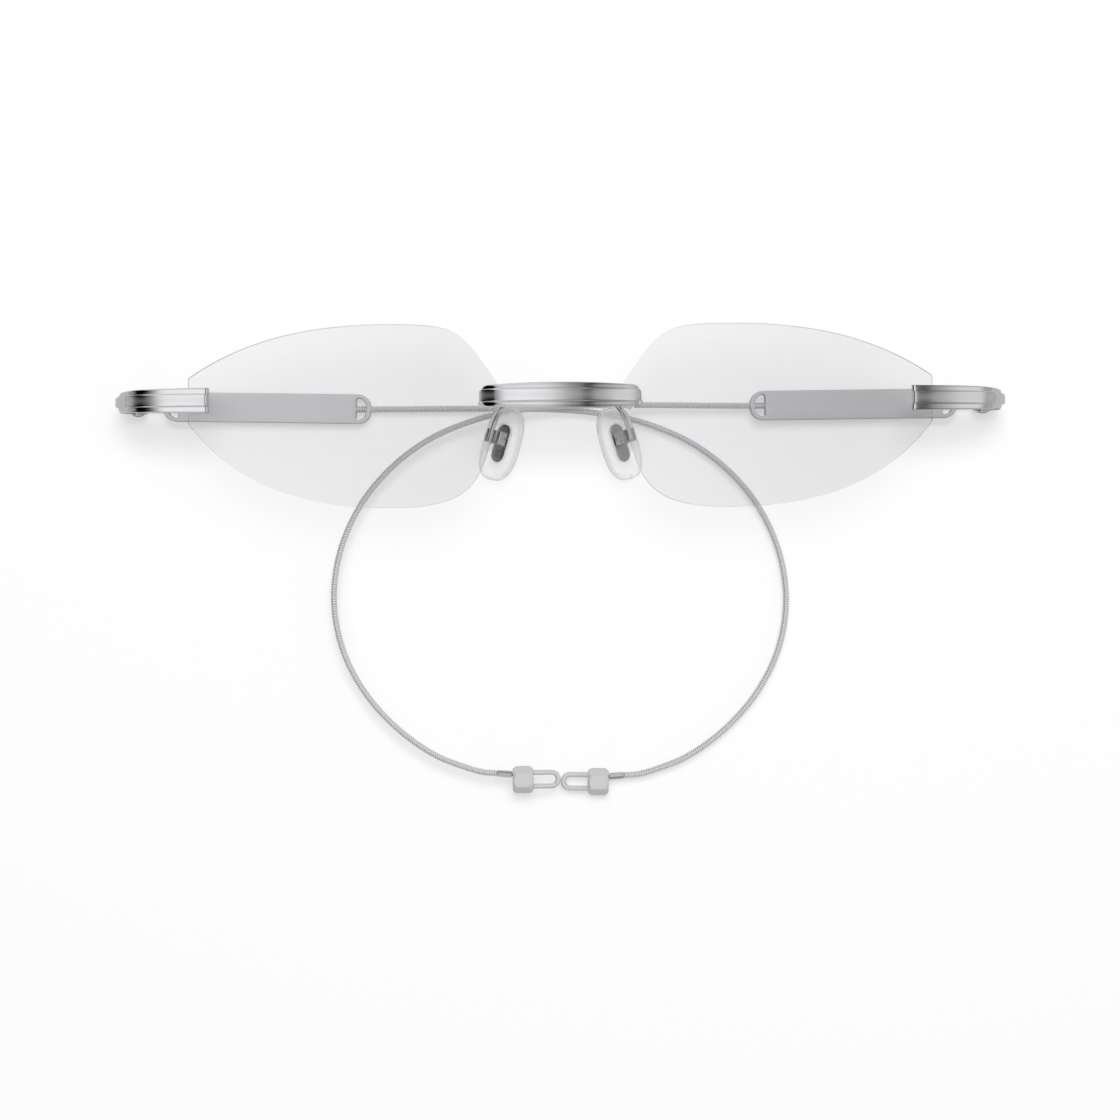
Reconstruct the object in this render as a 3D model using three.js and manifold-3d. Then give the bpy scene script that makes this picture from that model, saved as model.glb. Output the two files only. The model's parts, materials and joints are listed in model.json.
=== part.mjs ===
// Rimless glasses with cable temples, lying face up on the folded temples.
// Millimetres. X runs to the viewer's right, Y up as worn, Z from the table towards the viewer.
// Left and right are the viewer's. Side pieces are built for the right and mirrored for the left.
import * as THREE from 'three';
import { mergeVertices } from 'three/addons/utils/BufferGeometryUtils.js';
import Module from 'manifold-3d';

// Lenses. Heights start from the fixing line, on which the endpieces and hinges lie.
const lensGap = 20;
const lensWidth = 52;
const lensTop = 12.55;
const lensBottom = 17.94;
const lensThickness = 2;
const lensFrontRadius = 220;
const lensShoulder = 18.2; // inner point to the tallest place
const tipHeight = 7.52; // straight cut at the outer tip
const tipTopAngle = 34.2; // degrees, the top edge where it meets the tip
const tipBottomAngle = 53.2;
const pointRise = 1.08; // inner point above the fixing line
const pointRound = 0.69; // what rounding takes off the inner point
const upperFlankAngle = 55.5; // degrees from level
const lowerFlankAngle = 73.3;
const upperFlank = 5; // straight flanks, from the point before rounding
const lowerFlank = 11;
const upperPointShare = 0.6; // where the point's rounding starts, as a share of its flank
const lowerPointShare = 0.36;

// Handles of the lens outline's curves, as shares of the span that each curve bridges
const crownOuterShare = 0.415;
const crownInnerShare = 0.63;
const keelOuterShare = 0.43;
const keelInnerShare = 0.63;
const tipTopShare = 0.326;
const tipBottomShare = 0.392;
const upperFlankShare = 1.12;
const lowerFlankShare = 0.78;

// Lens fixings
const holeInset = 2; // from the inner point and from the outer tip
const screwRadius = 0.5;
const screwCover = 0.2; // metal left in front of the thread
const screwHeadRadius = 1.15;
const screwHeadHeight = 0.6;
const bushWall = 0.2;
const bushFlangeRadius = 1.2;
const bushFlange = 0.35;

// Stepped strip of the bridge and endpieces
const stripBase = 0.9;
const bandProud = 0.5;
const bandHeight = 2.05;

// Bridge
const bridgeOverlap = 3.4; // past the inner point of each lens
const bridgeRise = 0.5; // above the fixing line
const bridgeMiddleHeight = 4.25;
const bridgeEndHeight = 3.45;
const bridgeArcRadius = 40;
const bridgeBendRadius = 0.6; // inside the bend
const bridgeLeg = 0.8; // straight part of the turned-back end
const postRadius = 0.9;

// Endpieces and hinges
const frontDepth = 13; // top of the lens curve in front of the hinge axis
const endpieceOverlap = 3.6; // on the lens, from the outer tip
const endpieceHeight = 4.2;
const hingeReach = 10.4; // outer tip to the hinge axis
const endpieceArcRadius = 50; // from the inner end to the bend
const endpieceBendRadius = 6; // inside the bend
const endpieceLegHeight = 3.9;
const legProud = 1.1; // outer face of the leg past the knuckles
const knuckleRadius = 1.6;
const knuckleHeight = 2.8;
const eyeHeight = 0.9;
const hingePinRadius = 0.55;
const hingeHeadRadius = 1.05;
const hingeHeadHeight = 0.45;

// Temples
const templeDrop = 0.13; // plate middle below the hinge middle
const leftTempleSlope = 1; // degrees that a folded temple falls towards the middle
const rightTempleSlope = 0.6;
const stemRadius = 0.55;
const plateStart = 4.45; // hinge axis to the plate
const plateLength = 35.6;
const plateHeight = 4.98;
const plateThickness = 1.8;
const plateEndRound = 2.2;
const plateEndBar = 0.8;
const windowLength = 1.75; // D-shaped hole at each end
const windowSideBar = 0.85;
const wireSeat = 3.5; // stem and cable inside the plate, past the window

// Cable temples and end fittings
const cableRadius = 0.53;
const crossingGap = 0.35; // between the cables where they cross
const coreRadius = 0.35; // core wire, from the end of the winding into the nut
const ferruleLength = 2.5;
const ferruleRadius = 0.58;
const nutFlats = 4.1;
const nutLength = 3.55;
const nutChamfer = 0.55;
const coreSeat = 1.6; // core wire inside the nut
const eyeletLength = 4.65;
const eyeletHeight = 3.2;
const eyeletWireRadius = 0.43;
const eyeletSeat = 0.8; // eyelet legs inside the nut
const eyeletGap = 0.9; // eyelet tip to the middle of the frame, before the temple's slope
const hookRunout = 0.5; // cable end below the last point of the hook
const cableOffset = 0.9; // cable end above the nut's axis

// Hook of a cable: distance past the middle of the frame, and drop below the temple line
const hookRoute = [
  [-12, -0.4],
  [0, -0.4],
  [8, 0.3],
  [15.2, 1.95],
  [22.7, 5.1],
  [29.3, 10],
  [34.5, 16.3],
  [37.9, 23.8],
  [39.1, 31.9],
  [37.9, 40],
  [34.4, 47.4],
  [29.1, 53.7],
  [22.6, 58.6],
  [17.5, 60.8],
  [14.2, 61.8],
];

// Nose pads. The splay turns the mount side outwards, and the flare moves the lower end outwards.
const padInset = 0; // pad middle from the inner point of the lens
const padDrop = 7; // below the fixing line
const padGap = 0.5; // pad arm behind the lens
const padSplay = 35; // degrees
const padFlare = 16; // degrees
const padLength = 12.8;
const padWidth = 7.4;
const padCrown = 1.9;
const padBack = 0.55; // flat mount side, from the pad's middle plane
const padFullness = 0.6; // under 1 gives a flatter crown with fuller sides
const padSquareness = 2.8; // 2 is an oval outline, and more is squarer
const slotLength = 6.8;
const slotWidth = 3;
const slotDepth = 0.9;
const corePlate = 0.45;
const lugWidth = 0.9;
const lugRadius = 0.8;
const padScrewRise = 1; // screw axis above the mount side
const padScrewShift = 0.7; // towards the pad's upper end
const padScrewRadius = 0.35;
const padScrewHeadRadius = 0.8;
const boxWidth = 3.2;
const boxLength = 2.2;
const boxRoof = 0.35;
const padArmRadius = 0.43;
const armInset = 0.9; // arm root from the inner point of the lens

// Fits
const seatGap = 0.3; // faces that rest on each other inside turned groups
const boreGap = 0.1; // round a pin, wire or sleeve
const slideGap = 0.25; // beside faces that turn past each other
const solderGap = 0.06; // soldered faces

// Facets
const roundSides = 12;
const wireSides = 8;
const lensRings = 5;
const lensSides = 36;
const lensCurveSteps = 8;
const arcSteps = 6;
const domeSteps = 4;
const padSides = 24;
const padRings = 12;
const nutSides = 24;
const armSteps = 22;
const eyeletSteps = 24;
const cableSteps = 64;
const mergeDistance = 1e-4;

const degrees = Math.PI / 180;
const quarterTurn = Math.PI / 2;

// Places that several pieces share
const pointX = lensGap / 2;
const tipX = pointX + lensWidth;
const hingeX = tipX + hingeReach;
const hingeHeight = knuckleRadius;
const apexHeight = hingeHeight + frontDepth;
const lensMiddle = new THREE.Vector2(pointX + lensWidth / 2, (lensTop - lensBottom) / 2);
const stripThickness = stripBase + bandProud;
const bridgeHole = new THREE.Vector2(pointX + holeInset, bridgeRise);
const endpieceHole = new THREE.Vector2(tipX - holeInset, 0);
const bushRadius = screwRadius + boreGap + bushWall;
const plateEnd = plateStart + plateLength;
const nutInner = eyeletGap + eyeletLength;
const nutOuter = nutInner + nutLength;
const windingEnd = nutOuter + boreGap + ferruleLength + solderGap;
const fittingRise = nutFlats / 2 - hingeHeight;
const cableEndDrop = hookRoute.at(-1)[1] + hookRunout;
const fittingDrop = cableEndDrop + cableOffset;
const screwGrip = stripThickness - screwCover - boreGap;
const screwAxis = padBack + padScrewRise;
const boxTop = screwAxis + lugRadius + slideGap + boxRoof;
const armSeat = boxTop + solderGap + padArmRadius;

const wasm = await Module();
wasm.setup();

// A closed geometry as a solid: shared corners merged, empty triangles dropped.
function solidFrom(geometry) {
  const bare = new THREE.BufferGeometry();
  bare.setAttribute('position', geometry.getAttribute('position'));
  bare.setIndex(geometry.getIndex());
  const merged = mergeVertices(bare, mergeDistance);
  const corners = merged.getIndex().array;
  const kept = [];
  for (let i = 0; i < corners.length; i += 3) {
    const [a, b, c] = corners.slice(i, i + 3);
    if (a !== b && b !== c && c !== a) kept.push(a, b, c);
  }
  return new wasm.Manifold(new wasm.Mesh({
    numProp: 3,
    vertProperties: merged.getAttribute('position').array,
    triVerts: new Uint32Array(kept),
  }));
}

function geometryFrom(solid) {
  const mesh = solid.getMesh();
  const geometry = new THREE.BufferGeometry();
  geometry.setAttribute('position', new THREE.Float32BufferAttribute(mesh.vertProperties, 3));
  geometry.setIndex(new THREE.Uint32BufferAttribute(mesh.triVerts, 1));
  return geometry;
}

function join(first, ...others) {
  const whole = others.reduce((solid, other) => solid.add(solidFrom(other)), solidFrom(first));
  return geometryFrom(whole);
}

function cut(geometry, ...tools) {
  const left = tools.reduce((solid, tool) => solid.subtract(solidFrom(tool)), solidFrom(geometry));
  return geometryFrom(left);
}

function common(first, second) {
  return geometryFrom(solidFrom(first).intersect(solidFrom(second)));
}

// A round rod along one axis, between two places on it.
function rod(axis, radius, start, end, sides = roundSides) {
  const geometry = new THREE.CylinderGeometry(radius, radius, end - start, sides);
  geometry.translate(0, (start + end) / 2, 0);
  if (axis === 'x') geometry.rotateZ(-quarterTurn);
  if (axis === 'z') geometry.rotateX(quarterTurn);
  return geometry;
}

function block(low, high) {
  const size = high.clone().sub(low);
  const middle = low.clone().add(high).multiplyScalar(0.5);
  return new THREE.BoxGeometry(size.x, size.y, size.z).translate(middle.x, middle.y, middle.z);
}

// A plate of an outline drawn in X and Y, between two heights.
function slab(shape, low, high, curveSegments = arcSteps) {
  const settings = { depth: high - low, bevelEnabled: false, curveSegments };
  return new THREE.ExtrudeGeometry(shape, settings).translate(0, 0, low);
}

// A round wire along a curve.
function wire(curve, radius, steps) {
  const ring = [];
  for (let i = 0; i < wireSides; i += 1) {
    const turn = (2 * Math.PI * i) / wireSides;
    ring.push(new THREE.Vector2(radius * Math.cos(turn), radius * Math.sin(turn)));
  }
  const settings = { steps, bevelEnabled: false, extrudePath: curve };
  return new THREE.ExtrudeGeometry(new THREE.Shape(ring), settings);
}

function turned(profile, sides = roundSides) {
  const points = profile.map(([radius, height]) => new THREE.Vector2(radius, height));
  return new THREE.LatheGeometry(points, sides);
}

// An outline with straight sides and half-round ends along Y.
function stadium(length, width) {
  const radius = width / 2;
  const straight = length / 2 - radius;
  const shape = new THREE.Shape();
  shape.absarc(0, straight, radius, 0, Math.PI);
  shape.absarc(0, -straight, radius, Math.PI, 2 * Math.PI);
  shape.closePath();
  return shape;
}

// Lens surface heights over the table at a place on the lens.
function lensHeight(radius, x, y) {
  const away = lensMiddle.distanceTo(new THREE.Vector2(x, y));
  return apexHeight - lensFrontRadius + Math.sqrt(radius ** 2 - away ** 2);
}

function lensFront(x, y) {
  return lensHeight(lensFrontRadius, x, y);
}

function lensBack(x, y) {
  return lensHeight(lensFrontRadius - lensThickness, x, y);
}

// The stepped section as [across, proud] corners.
function stripSection(height) {
  const edge = height / 2;
  const band = bandHeight / 2;
  return [
    [-edge, 0],
    [edge, 0],
    [edge, stripBase],
    [band, stripBase],
    [band, stripThickness],
    [-band, stripThickness],
    [-band, stripBase],
    [-edge, stripBase],
  ];
}

// A stepped strip bent along a plan in X and Z. Its proud side is on the left of the plan's line.
function strip(plan, heightAt) {
  const points = plan.getPoints(arcSteps);
  const line = points.filter((place, i) => i === 0 || place.distanceTo(points[i - 1]) > mergeDistance);
  const positions = [];
  const index = [];
  line.forEach((place, i) => {
    const before = line[Math.max(i - 1, 0)];
    const after = line[Math.min(i + 1, line.length - 1)];
    const incoming = (i > 0 ? place.clone().sub(before) : after.clone().sub(place)).normalize();
    const outgoing = (i < line.length - 1 ? after.clone().sub(place) : incoming.clone()).normalize();
    const along = incoming.clone().add(outgoing).normalize();
    const mitre = 1 / along.dot(incoming);
    for (const [across, proud] of stripSection(heightAt(place))) {
      positions.push(place.x - along.y * proud * mitre, across, place.y + along.x * proud * mitre);
    }
  });
  const corners = stripSection(heightAt(line[0]));
  const count = corners.length;
  for (let ring = 0; ring < line.length - 1; ring += 1) {
    for (let j = 0; j < count; j += 1) {
      const near = ring * count + j;
      const beside = ring * count + ((j + 1) % count);
      index.push(near, beside, beside + count, near, beside + count, near + count);
    }
  }
  const last = (line.length - 1) * count;
  const outline = corners.map(([across, proud]) => new THREE.Vector2(across, proud));
  for (const [a, b, c] of THREE.ShapeUtils.triangulateShape(outline, [])) {
    index.push(c, b, a, last + a, last + b, last + c);
  }
  const geometry = new THREE.BufferGeometry();
  geometry.setAttribute('position', new THREE.Float32BufferAttribute(positions, 3));
  geometry.setIndex(index);
  return geometry;
}

function direction(angle) {
  return new THREE.Vector2(Math.cos(angle * degrees), Math.sin(angle * degrees));
}

// Lens outline: pointed inner end, flat crown and keel, and a straight-cut tip.
function lensOutline() {
  const sharp = new THREE.Vector2(pointX - pointRound, pointRise);
  const up = direction(upperFlankAngle);
  const down = direction(-lowerFlankAngle);
  const onUpper = (length) => sharp.clone().addScaledVector(up, length);
  const onLower = (length) => sharp.clone().addScaledVector(down, length);
  const crown = new THREE.Vector2(pointX + lensShoulder, lensTop);
  const keel = new THREE.Vector2(pointX + lensShoulder, -lensBottom);
  const tipTop = new THREE.Vector2(tipX, tipHeight / 2);
  const tipBottom = new THREE.Vector2(tipX, -tipHeight / 2);
  const innerTop = onUpper(upperFlank);
  const innerBottom = onLower(lowerFlank);
  const span = tipX - crown.x;
  const crownOuter = crown.clone().setX(crown.x + crownOuterShare * span);
  const crownInner = crown.clone().setX(crown.x - crownInnerShare * (crown.x - innerTop.x));
  const keelOuter = keel.clone().setX(keel.x + keelOuterShare * span);
  const keelInner = keel.clone().setX(keel.x - keelInnerShare * (keel.x - innerBottom.x));
  const tipAbove = tipTop.clone().addScaledVector(direction(180 - tipTopAngle), tipTopShare * span);
  const tipBelow = tipBottom.clone().addScaledVector(direction(180 + tipBottomAngle), tipBottomShare * span);
  const flankAbove = onUpper(upperFlank + upperFlankShare * (crown.y - innerTop.y));
  const flankBelow = onLower(lowerFlank + lowerFlankShare * (innerBottom.y - keel.y));
  const roundTop = onUpper(upperPointShare * upperFlank);
  const roundBottom = onLower(lowerPointShare * lowerFlank);

  const shape = new THREE.Shape();
  shape.moveTo(tipBottom.x, tipBottom.y);
  shape.lineTo(tipTop.x, tipTop.y);
  shape.bezierCurveTo(tipAbove.x, tipAbove.y, crownOuter.x, crownOuter.y, crown.x, crown.y);
  shape.bezierCurveTo(crownInner.x, crownInner.y, flankAbove.x, flankAbove.y, innerTop.x, innerTop.y);
  shape.lineTo(roundTop.x, roundTop.y);
  shape.quadraticCurveTo(sharp.x, sharp.y, roundBottom.x, roundBottom.y);
  shape.lineTo(innerBottom.x, innerBottom.y);
  shape.bezierCurveTo(flankBelow.x, flankBelow.y, keelInner.x, keelInner.y, keel.x, keel.y);
  shape.bezierCurveTo(keelOuter.x, keelOuter.y, tipBelow.x, tipBelow.y, tipBottom.x, tipBottom.y);
  return shape;
}

// A round meniscus blank, cut to the outline and drilled for the bushes.
function lens() {
  const blankRadius = Math.hypot(lensWidth, lensTop + lensBottom) / 2 + lensThickness;
  const centre = apexHeight - lensFrontRadius;
  const backRadius = lensFrontRadius - lensThickness;
  const surface = (radius, ring) => {
    const away = (blankRadius * ring) / lensRings;
    return [away, centre + Math.sqrt(radius ** 2 - away ** 2)];
  };
  const profile = [];
  for (let ring = 0; ring <= lensRings; ring += 1) profile.push(surface(backRadius, ring));
  for (let ring = lensRings; ring >= 0; ring -= 1) profile.push(surface(lensFrontRadius, ring));
  const blank = turned(profile, lensSides).rotateX(quarterTurn).translate(lensMiddle.x, lensMiddle.y, 0);
  const low = profile[lensRings][1] - lensThickness;
  const high = apexHeight + lensThickness;
  const holes = [bridgeHole, endpieceHole].map((place) => (
    rod('z', bushRadius + boreGap, low, high).translate(place.x, place.y, 0)
  ));
  return cut(common(blank, slab(lensOutline(), low, high, lensCurveSteps)), ...holes);
}

// Highest place of the lens front under a fixing, from its edge on the side of the lens middle
function seatOn(hole, reach) {
  return lensFront(hole.x + reach, hole.y) + seatGap;
}

const bridgeSeat = seatOn(bridgeHole, bridgeOverlap - holeInset);
const endpieceSeat = seatOn(endpieceHole, holeInset - endpieceOverlap);

// Bridge plan: legs turned back to the lenses, tight bends and one shallow arc between them
const bridgeLegX = pointX + bridgeOverlap - stripThickness;
const bridgeBendX = bridgeLegX - bridgeBendRadius;
const bridgeBendHeight = bridgeSeat + bridgeLeg;
const bridgeSlope = Math.asin(bridgeBendX / (bridgeArcRadius - bridgeBendRadius));
const bridgeArcHeight = bridgeBendHeight - (bridgeArcRadius - bridgeBendRadius) * Math.cos(bridgeSlope);

function bridgeBack(x) {
  return bridgeArcHeight + Math.sqrt(bridgeArcRadius ** 2 - x ** 2);
}

function bridge() {
  const slopeStart = quarterTurn + bridgeSlope;
  const slopeEnd = quarterTurn - bridgeSlope;
  const plan = new THREE.Path();
  plan.moveTo(-bridgeLegX, bridgeSeat);
  plan.lineTo(-bridgeLegX, bridgeBendHeight);
  plan.absarc(-bridgeBendX, bridgeBendHeight, bridgeBendRadius, Math.PI, slopeStart, true);
  plan.absarc(0, bridgeArcHeight, bridgeArcRadius, slopeStart, slopeEnd, true);
  plan.absarc(bridgeBendX, bridgeBendHeight, bridgeBendRadius, slopeEnd, 0, true);
  plan.lineTo(bridgeLegX, bridgeSeat);
  const heightAt = (place) => THREE.MathUtils.lerp(
    bridgeMiddleHeight,
    bridgeEndHeight,
    Math.min((place.x / bridgeLegX) ** 2, 1),
  );
  const bent = strip(plan, heightAt).translate(0, bridgeRise, 0);
  const posts = [-1, 1].map((side) => (
    rod('z', postRadius, bridgeSeat, bridgeSeat + stripThickness)
      .translate(side * bridgeHole.x, bridgeHole.y, 0)
  ));
  const threads = [-1, 1].map((side) => (
    rod('z', screwRadius + boreGap, bridgeSeat - seatGap, bridgeSeat + screwGrip + boreGap)
      .translate(side * bridgeHole.x, bridgeHole.y, 0)
  ));
  return cut(join(bent, ...posts), ...threads);
}

// Endpiece plan: a shallow arc over the lens, one bend, and a leg back to the hinge knuckles
function endpiece() {
  const legX = hingeX + knuckleRadius + legProud - stripThickness;
  const innerX = tipX - endpieceOverlap;
  const bendX = legX - endpieceBendRadius;
  const arcHeight = endpieceSeat - endpieceArcRadius;
  const toBend = endpieceArcRadius - endpieceBendRadius;
  const slope = Math.asin((bendX - innerX) / toBend);
  const bendHeight = arcHeight + toBend * Math.cos(slope);
  const slopeEnd = quarterTurn - slope;
  const plan = new THREE.Path();
  plan.absarc(innerX, arcHeight, endpieceArcRadius, quarterTurn, slopeEnd, true);
  plan.absarc(bendX, bendHeight, endpieceBendRadius, slopeEnd, 0, true);
  plan.lineTo(legX, hingeHeight - knuckleRadius / 2);
  const heightAt = (place) => THREE.MathUtils.lerp(
    endpieceHeight,
    endpieceLegHeight,
    (place.x - innerX) / (legX - innerX),
  );
  const bent = strip(plan, heightAt);
  const half = knuckleHeight / 2;
  const knuckle = rod('y', knuckleRadius, -half, half);
  const gap = eyeHeight / 2 + slideGap;
  const eyeRoom = rod('y', knuckleRadius + slideGap, -gap, gap);
  const pinHole = rod('y', hingePinRadius + boreGap, -half - seatGap, half + seatGap);
  const atHinge = (geometry) => geometry.translate(hingeX, 0, hingeHeight);
  const thread = rod('z', screwRadius + boreGap, endpieceSeat - seatGap, endpieceSeat + screwGrip + boreGap)
    .translate(endpieceHole.x, endpieceHole.y, 0);
  return cut(join(bent, atHinge(knuckle)), atHinge(eyeRoom), atHinge(pinHole), thread);
}

// The flange stands off the curved lens back by what the curve rises under it.
function flangeTop(hole) {
  const outer = hole.x + Math.sign(hole.x - lensMiddle.x) * bushFlangeRadius;
  return lensBack(outer, hole.y) - boreGap;
}

function lensBush(hole) {
  const bore = screwRadius + boreGap;
  const top = flangeTop(hole);
  const sleeveTop = lensFront(hole.x, hole.y) - boreGap;
  const profile = [
    [bore, top - bushFlange],
    [bushFlangeRadius, top - bushFlange],
    [bushFlangeRadius, top],
    [bushRadius, top],
    [bushRadius, sleeveTop],
    [bore, sleeveTop],
    [bore, top - bushFlange],
  ];
  return turned(profile).rotateX(quarterTurn).translate(hole.x, hole.y, 0);
}

function domeProfile(radius, height, low) {
  const points = [];
  for (let i = 0; i < domeSteps; i += 1) {
    const turn = quarterTurn * (1 - i / domeSteps);
    points.push([radius * Math.cos(turn), low + height * (1 - Math.sin(turn))]);
  }
  return points;
}

// Domed head behind the lens, with a shank through the bush into the metal
function lensScrew(hole, seat) {
  const headTop = flangeTop(hole) - bushFlange - solderGap;
  const profile = [
    ...domeProfile(screwHeadRadius, screwHeadHeight, headTop - screwHeadHeight),
    [screwHeadRadius, headTop],
    [screwRadius, headTop],
    [screwRadius, seat + screwGrip],
    [0, seat + screwGrip],
  ];
  return turned(profile).rotateX(quarterTurn).translate(hole.x, hole.y, 0);
}

// Headed screw from below, flush with the upper knuckle
function hingeScrew() {
  const half = knuckleHeight / 2;
  const headTop = -half - solderGap;
  const profile = [
    ...domeProfile(hingeHeadRadius, hingeHeadHeight, headTop - hingeHeadHeight),
    [hingeHeadRadius, headTop],
    [hingePinRadius, headTop],
    [hingePinRadius, half],
    [0, half],
  ];
  return turned(profile).translate(hingeX, 0, hingeHeight);
}

// Frame of a nose pad: X across the pad, Y along it, Z out of the mount side
function padFrame() {
  const frame = new THREE.Group();
  const armHeight = lensBack(pointX, -padDrop) - padGap - padArmRadius;
  const height = armHeight - armSeat * Math.cos(padSplay * degrees);
  frame.position.set(pointX - padInset, -padDrop, height);
  frame.rotation.set(0, padSplay * degrees, padFlare * degrees, 'ZYX');
  frame.updateMatrix();
  return frame;
}

// Crowned pad: a ball flattened and filled out, with a flat mount side and a slot for the core
function nosePad() {
  const ball = new THREE.SphereGeometry(1, padSides, padRings);
  ball.rotateX(quarterTurn);
  const corners = ball.getAttribute('position');
  for (let i = 0; i < corners.count; i += 1) {
    const x = corners.getX(i);
    const y = corners.getY(i);
    const spread = Math.hypot(x, y);
    const turn = Math.atan2(y, x);
    const square = Math.abs(Math.cos(turn)) ** padSquareness + Math.abs(Math.sin(turn)) ** padSquareness;
    const reach = spread ** padFullness / square ** (1 / padSquareness);
    corners.setXY(i, reach * Math.cos(turn), reach * Math.sin(turn));
  }
  ball.scale(padWidth / 2, padLength / 2, padCrown);
  const above = block(
    new THREE.Vector3(-padWidth, -padLength, padBack),
    new THREE.Vector3(padWidth, padLength, padBack + padCrown),
  );
  const slot = slab(stadium(slotLength, slotWidth), padBack - slotDepth, padBack + padCrown);
  return cut(ball, above, slot);
}

function padCore() {
  const low = padBack - slotDepth + solderGap;
  const high = low + corePlate;
  const plate = slab(stadium(slotLength - 2 * boreGap, slotWidth - 2 * boreGap), low, high);
  const half = lugWidth / 2;
  const middle = new THREE.Vector3(0, padScrewShift, screwAxis);
  const eye = rod('x', lugRadius, -half, half).translate(middle.x, middle.y, middle.z);
  const neck = block(
    new THREE.Vector3(-half, padScrewShift - lugRadius, (low + high) / 2),
    new THREE.Vector3(half, padScrewShift + lugRadius, screwAxis),
  );
  const hole = rod('x', padScrewRadius + boreGap, -lugWidth, lugWidth)
    .translate(middle.x, middle.y, middle.z);
  return cut(join(plate, neck, eye), hole);
}

// A channel over the lug, open towards the pad, with the screw across it
function padBox() {
  const low = padBack + (screwAxis - padBack) / 2;
  const half = boxWidth / 2;
  const channel = lugWidth / 2 + slideGap;
  const body = block(
    new THREE.Vector3(-half, padScrewShift - boxLength / 2, low),
    new THREE.Vector3(half, padScrewShift + boxLength / 2, boxTop),
  );
  const room = block(
    new THREE.Vector3(-channel, padScrewShift - boxLength, low - boxRoof),
    new THREE.Vector3(channel, padScrewShift + boxLength, boxTop - boxRoof),
  );
  const hole = rod('x', padScrewRadius + boreGap, -boxWidth, boxWidth).translate(0, padScrewShift, screwAxis);
  return cut(body, room, hole);
}

function padScrew() {
  const half = boxWidth / 2;
  const headBase = half + solderGap;
  const profile = [
    [0, -half],
    [padScrewRadius, -half],
    [padScrewRadius, headBase],
    [padScrewHeadRadius, headBase],
    ...domeProfile(padScrewHeadRadius, padScrewHeadRadius, 0)
      .reverse()
      .map(([radius, height]) => [radius, headBase + padScrewHeadRadius - height]),
  ];
  return turned(profile).rotateZ(-quarterTurn).translate(0, padScrewShift, screwAxis);
}

// Wire from the back of the bridge, past the lens point and down onto the roof of the pad box
function padArm() {
  const frame = padFrame();
  const onBox = (along) => (
    new THREE.Vector3(0, padScrewShift + along, armSeat).applyMatrix4(frame.matrix)
  );
  const rootX = pointX - armInset;
  const rootHeight = bridgeBack(rootX + padArmRadius) - solderGap;
  const clear = lensBack(pointX, 0) - 3 * padArmRadius;
  const shoulder = onBox(boxLength);
  const elbow = new THREE.Vector3(rootX, bridgeRise, clear - 2 * padArmRadius);
  const route = [
    new THREE.Vector3(rootX, bridgeRise, rootHeight),
    new THREE.Vector3(rootX, bridgeRise, (rootHeight + clear) / 2),
    new THREE.Vector3(rootX, bridgeRise - 2 * padArmRadius, clear),
    elbow.add(shoulder).multiplyScalar(1 / 2),
    shoulder,
    onBox(-boxLength / 2),
  ];
  return wire(new THREE.CatmullRomCurve3(route), padArmRadius, armSteps);
}

// Temple pieces lie along -X from a hinge at the origin, folded flat.
function hingeEye() {
  const half = eyeHeight / 2;
  const eye = rod('y', knuckleRadius, -half, half);
  const reach = plateStart + plateEndBar + windowLength + wireSeat;
  const stem = rod('x', stemRadius, -reach, -knuckleRadius / 2);
  const hole = rod('y', hingePinRadius + boreGap, -eyeHeight, eyeHeight);
  return cut(join(eye, stem), hole);
}

// Plate outline from 0 to its length along X, with a rounded rectangle's corners
function plateOutline() {
  const half = plateHeight / 2;
  const round = Math.min(plateEndRound, half);
  const shape = new THREE.Shape();
  shape.absarc(round, round - half, round, 2 * quarterTurn, 3 * quarterTurn);
  shape.absarc(plateLength - round, round - half, round, 3 * quarterTurn, 4 * quarterTurn);
  shape.absarc(plateLength - round, half - round, round, 0, quarterTurn);
  shape.absarc(round, half - round, round, quarterTurn, 2 * quarterTurn);
  shape.closePath();
  return shape;
}

// D-shaped window: round towards the plate's end, straight towards its middle
function windowOutline() {
  const half = plateHeight / 2 - windowSideBar;
  const round = Math.min(plateEndRound - windowSideBar, windowLength, half);
  const start = plateEndBar;
  const end = plateEndBar + windowLength;
  const shape = new THREE.Shape();
  shape.moveTo(end, -half);
  shape.lineTo(end, half);
  shape.absarc(start + round, half - round, round, quarterTurn, 2 * quarterTurn);
  shape.absarc(start + round, round - half, round, 2 * quarterTurn, 3 * quarterTurn);
  shape.closePath();
  return shape;
}

function templePlate() {
  const half = plateThickness / 2;
  const body = slab(plateOutline(), -half, half);
  const nearWindow = slab(windowOutline(), -plateThickness, plateThickness);
  const farWindow = nearWindow.clone().rotateZ(Math.PI).translate(plateLength, 0, 0);
  const depth = plateEndBar + windowLength + wireSeat + seatGap;
  const stemBore = rod('x', stemRadius + boreGap, -seatGap, depth, wireSides).translate(0, templeDrop, 0);
  const cableBore = rod('x', cableRadius + boreGap, plateLength - depth, plateLength + seatGap, wireSides);
  return cut(body, nearWindow, farWindow, stemBore, cableBore)
    .rotateY(Math.PI)
    .translate(-plateStart, -templeDrop, 0);
}

// Route of a cable: out of the plate, past the middle of the frame, round the hook and up to the ferrule
function cableRoute() {
  const place = (past, drop, rise) => new THREE.Vector3(-hingeX - past, -templeDrop - drop, rise);
  const begin = plateEnd - plateEndBar - windowLength - wireSeat - hingeX;
  const rising = (drop) => fittingRise * (drop / fittingDrop) ** 2;
  return new THREE.CatmullRomCurve3([
    place(begin, 0, 0),
    place(plateEnd - hingeX, 0, 0),
    ...hookRoute.map(([past, drop]) => place(past, drop, rising(drop))),
    place(windingEnd + seatGap, cableEndDrop, fittingRise),
    place(windingEnd, cableEndDrop, fittingRise),
  ]);
}

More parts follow.
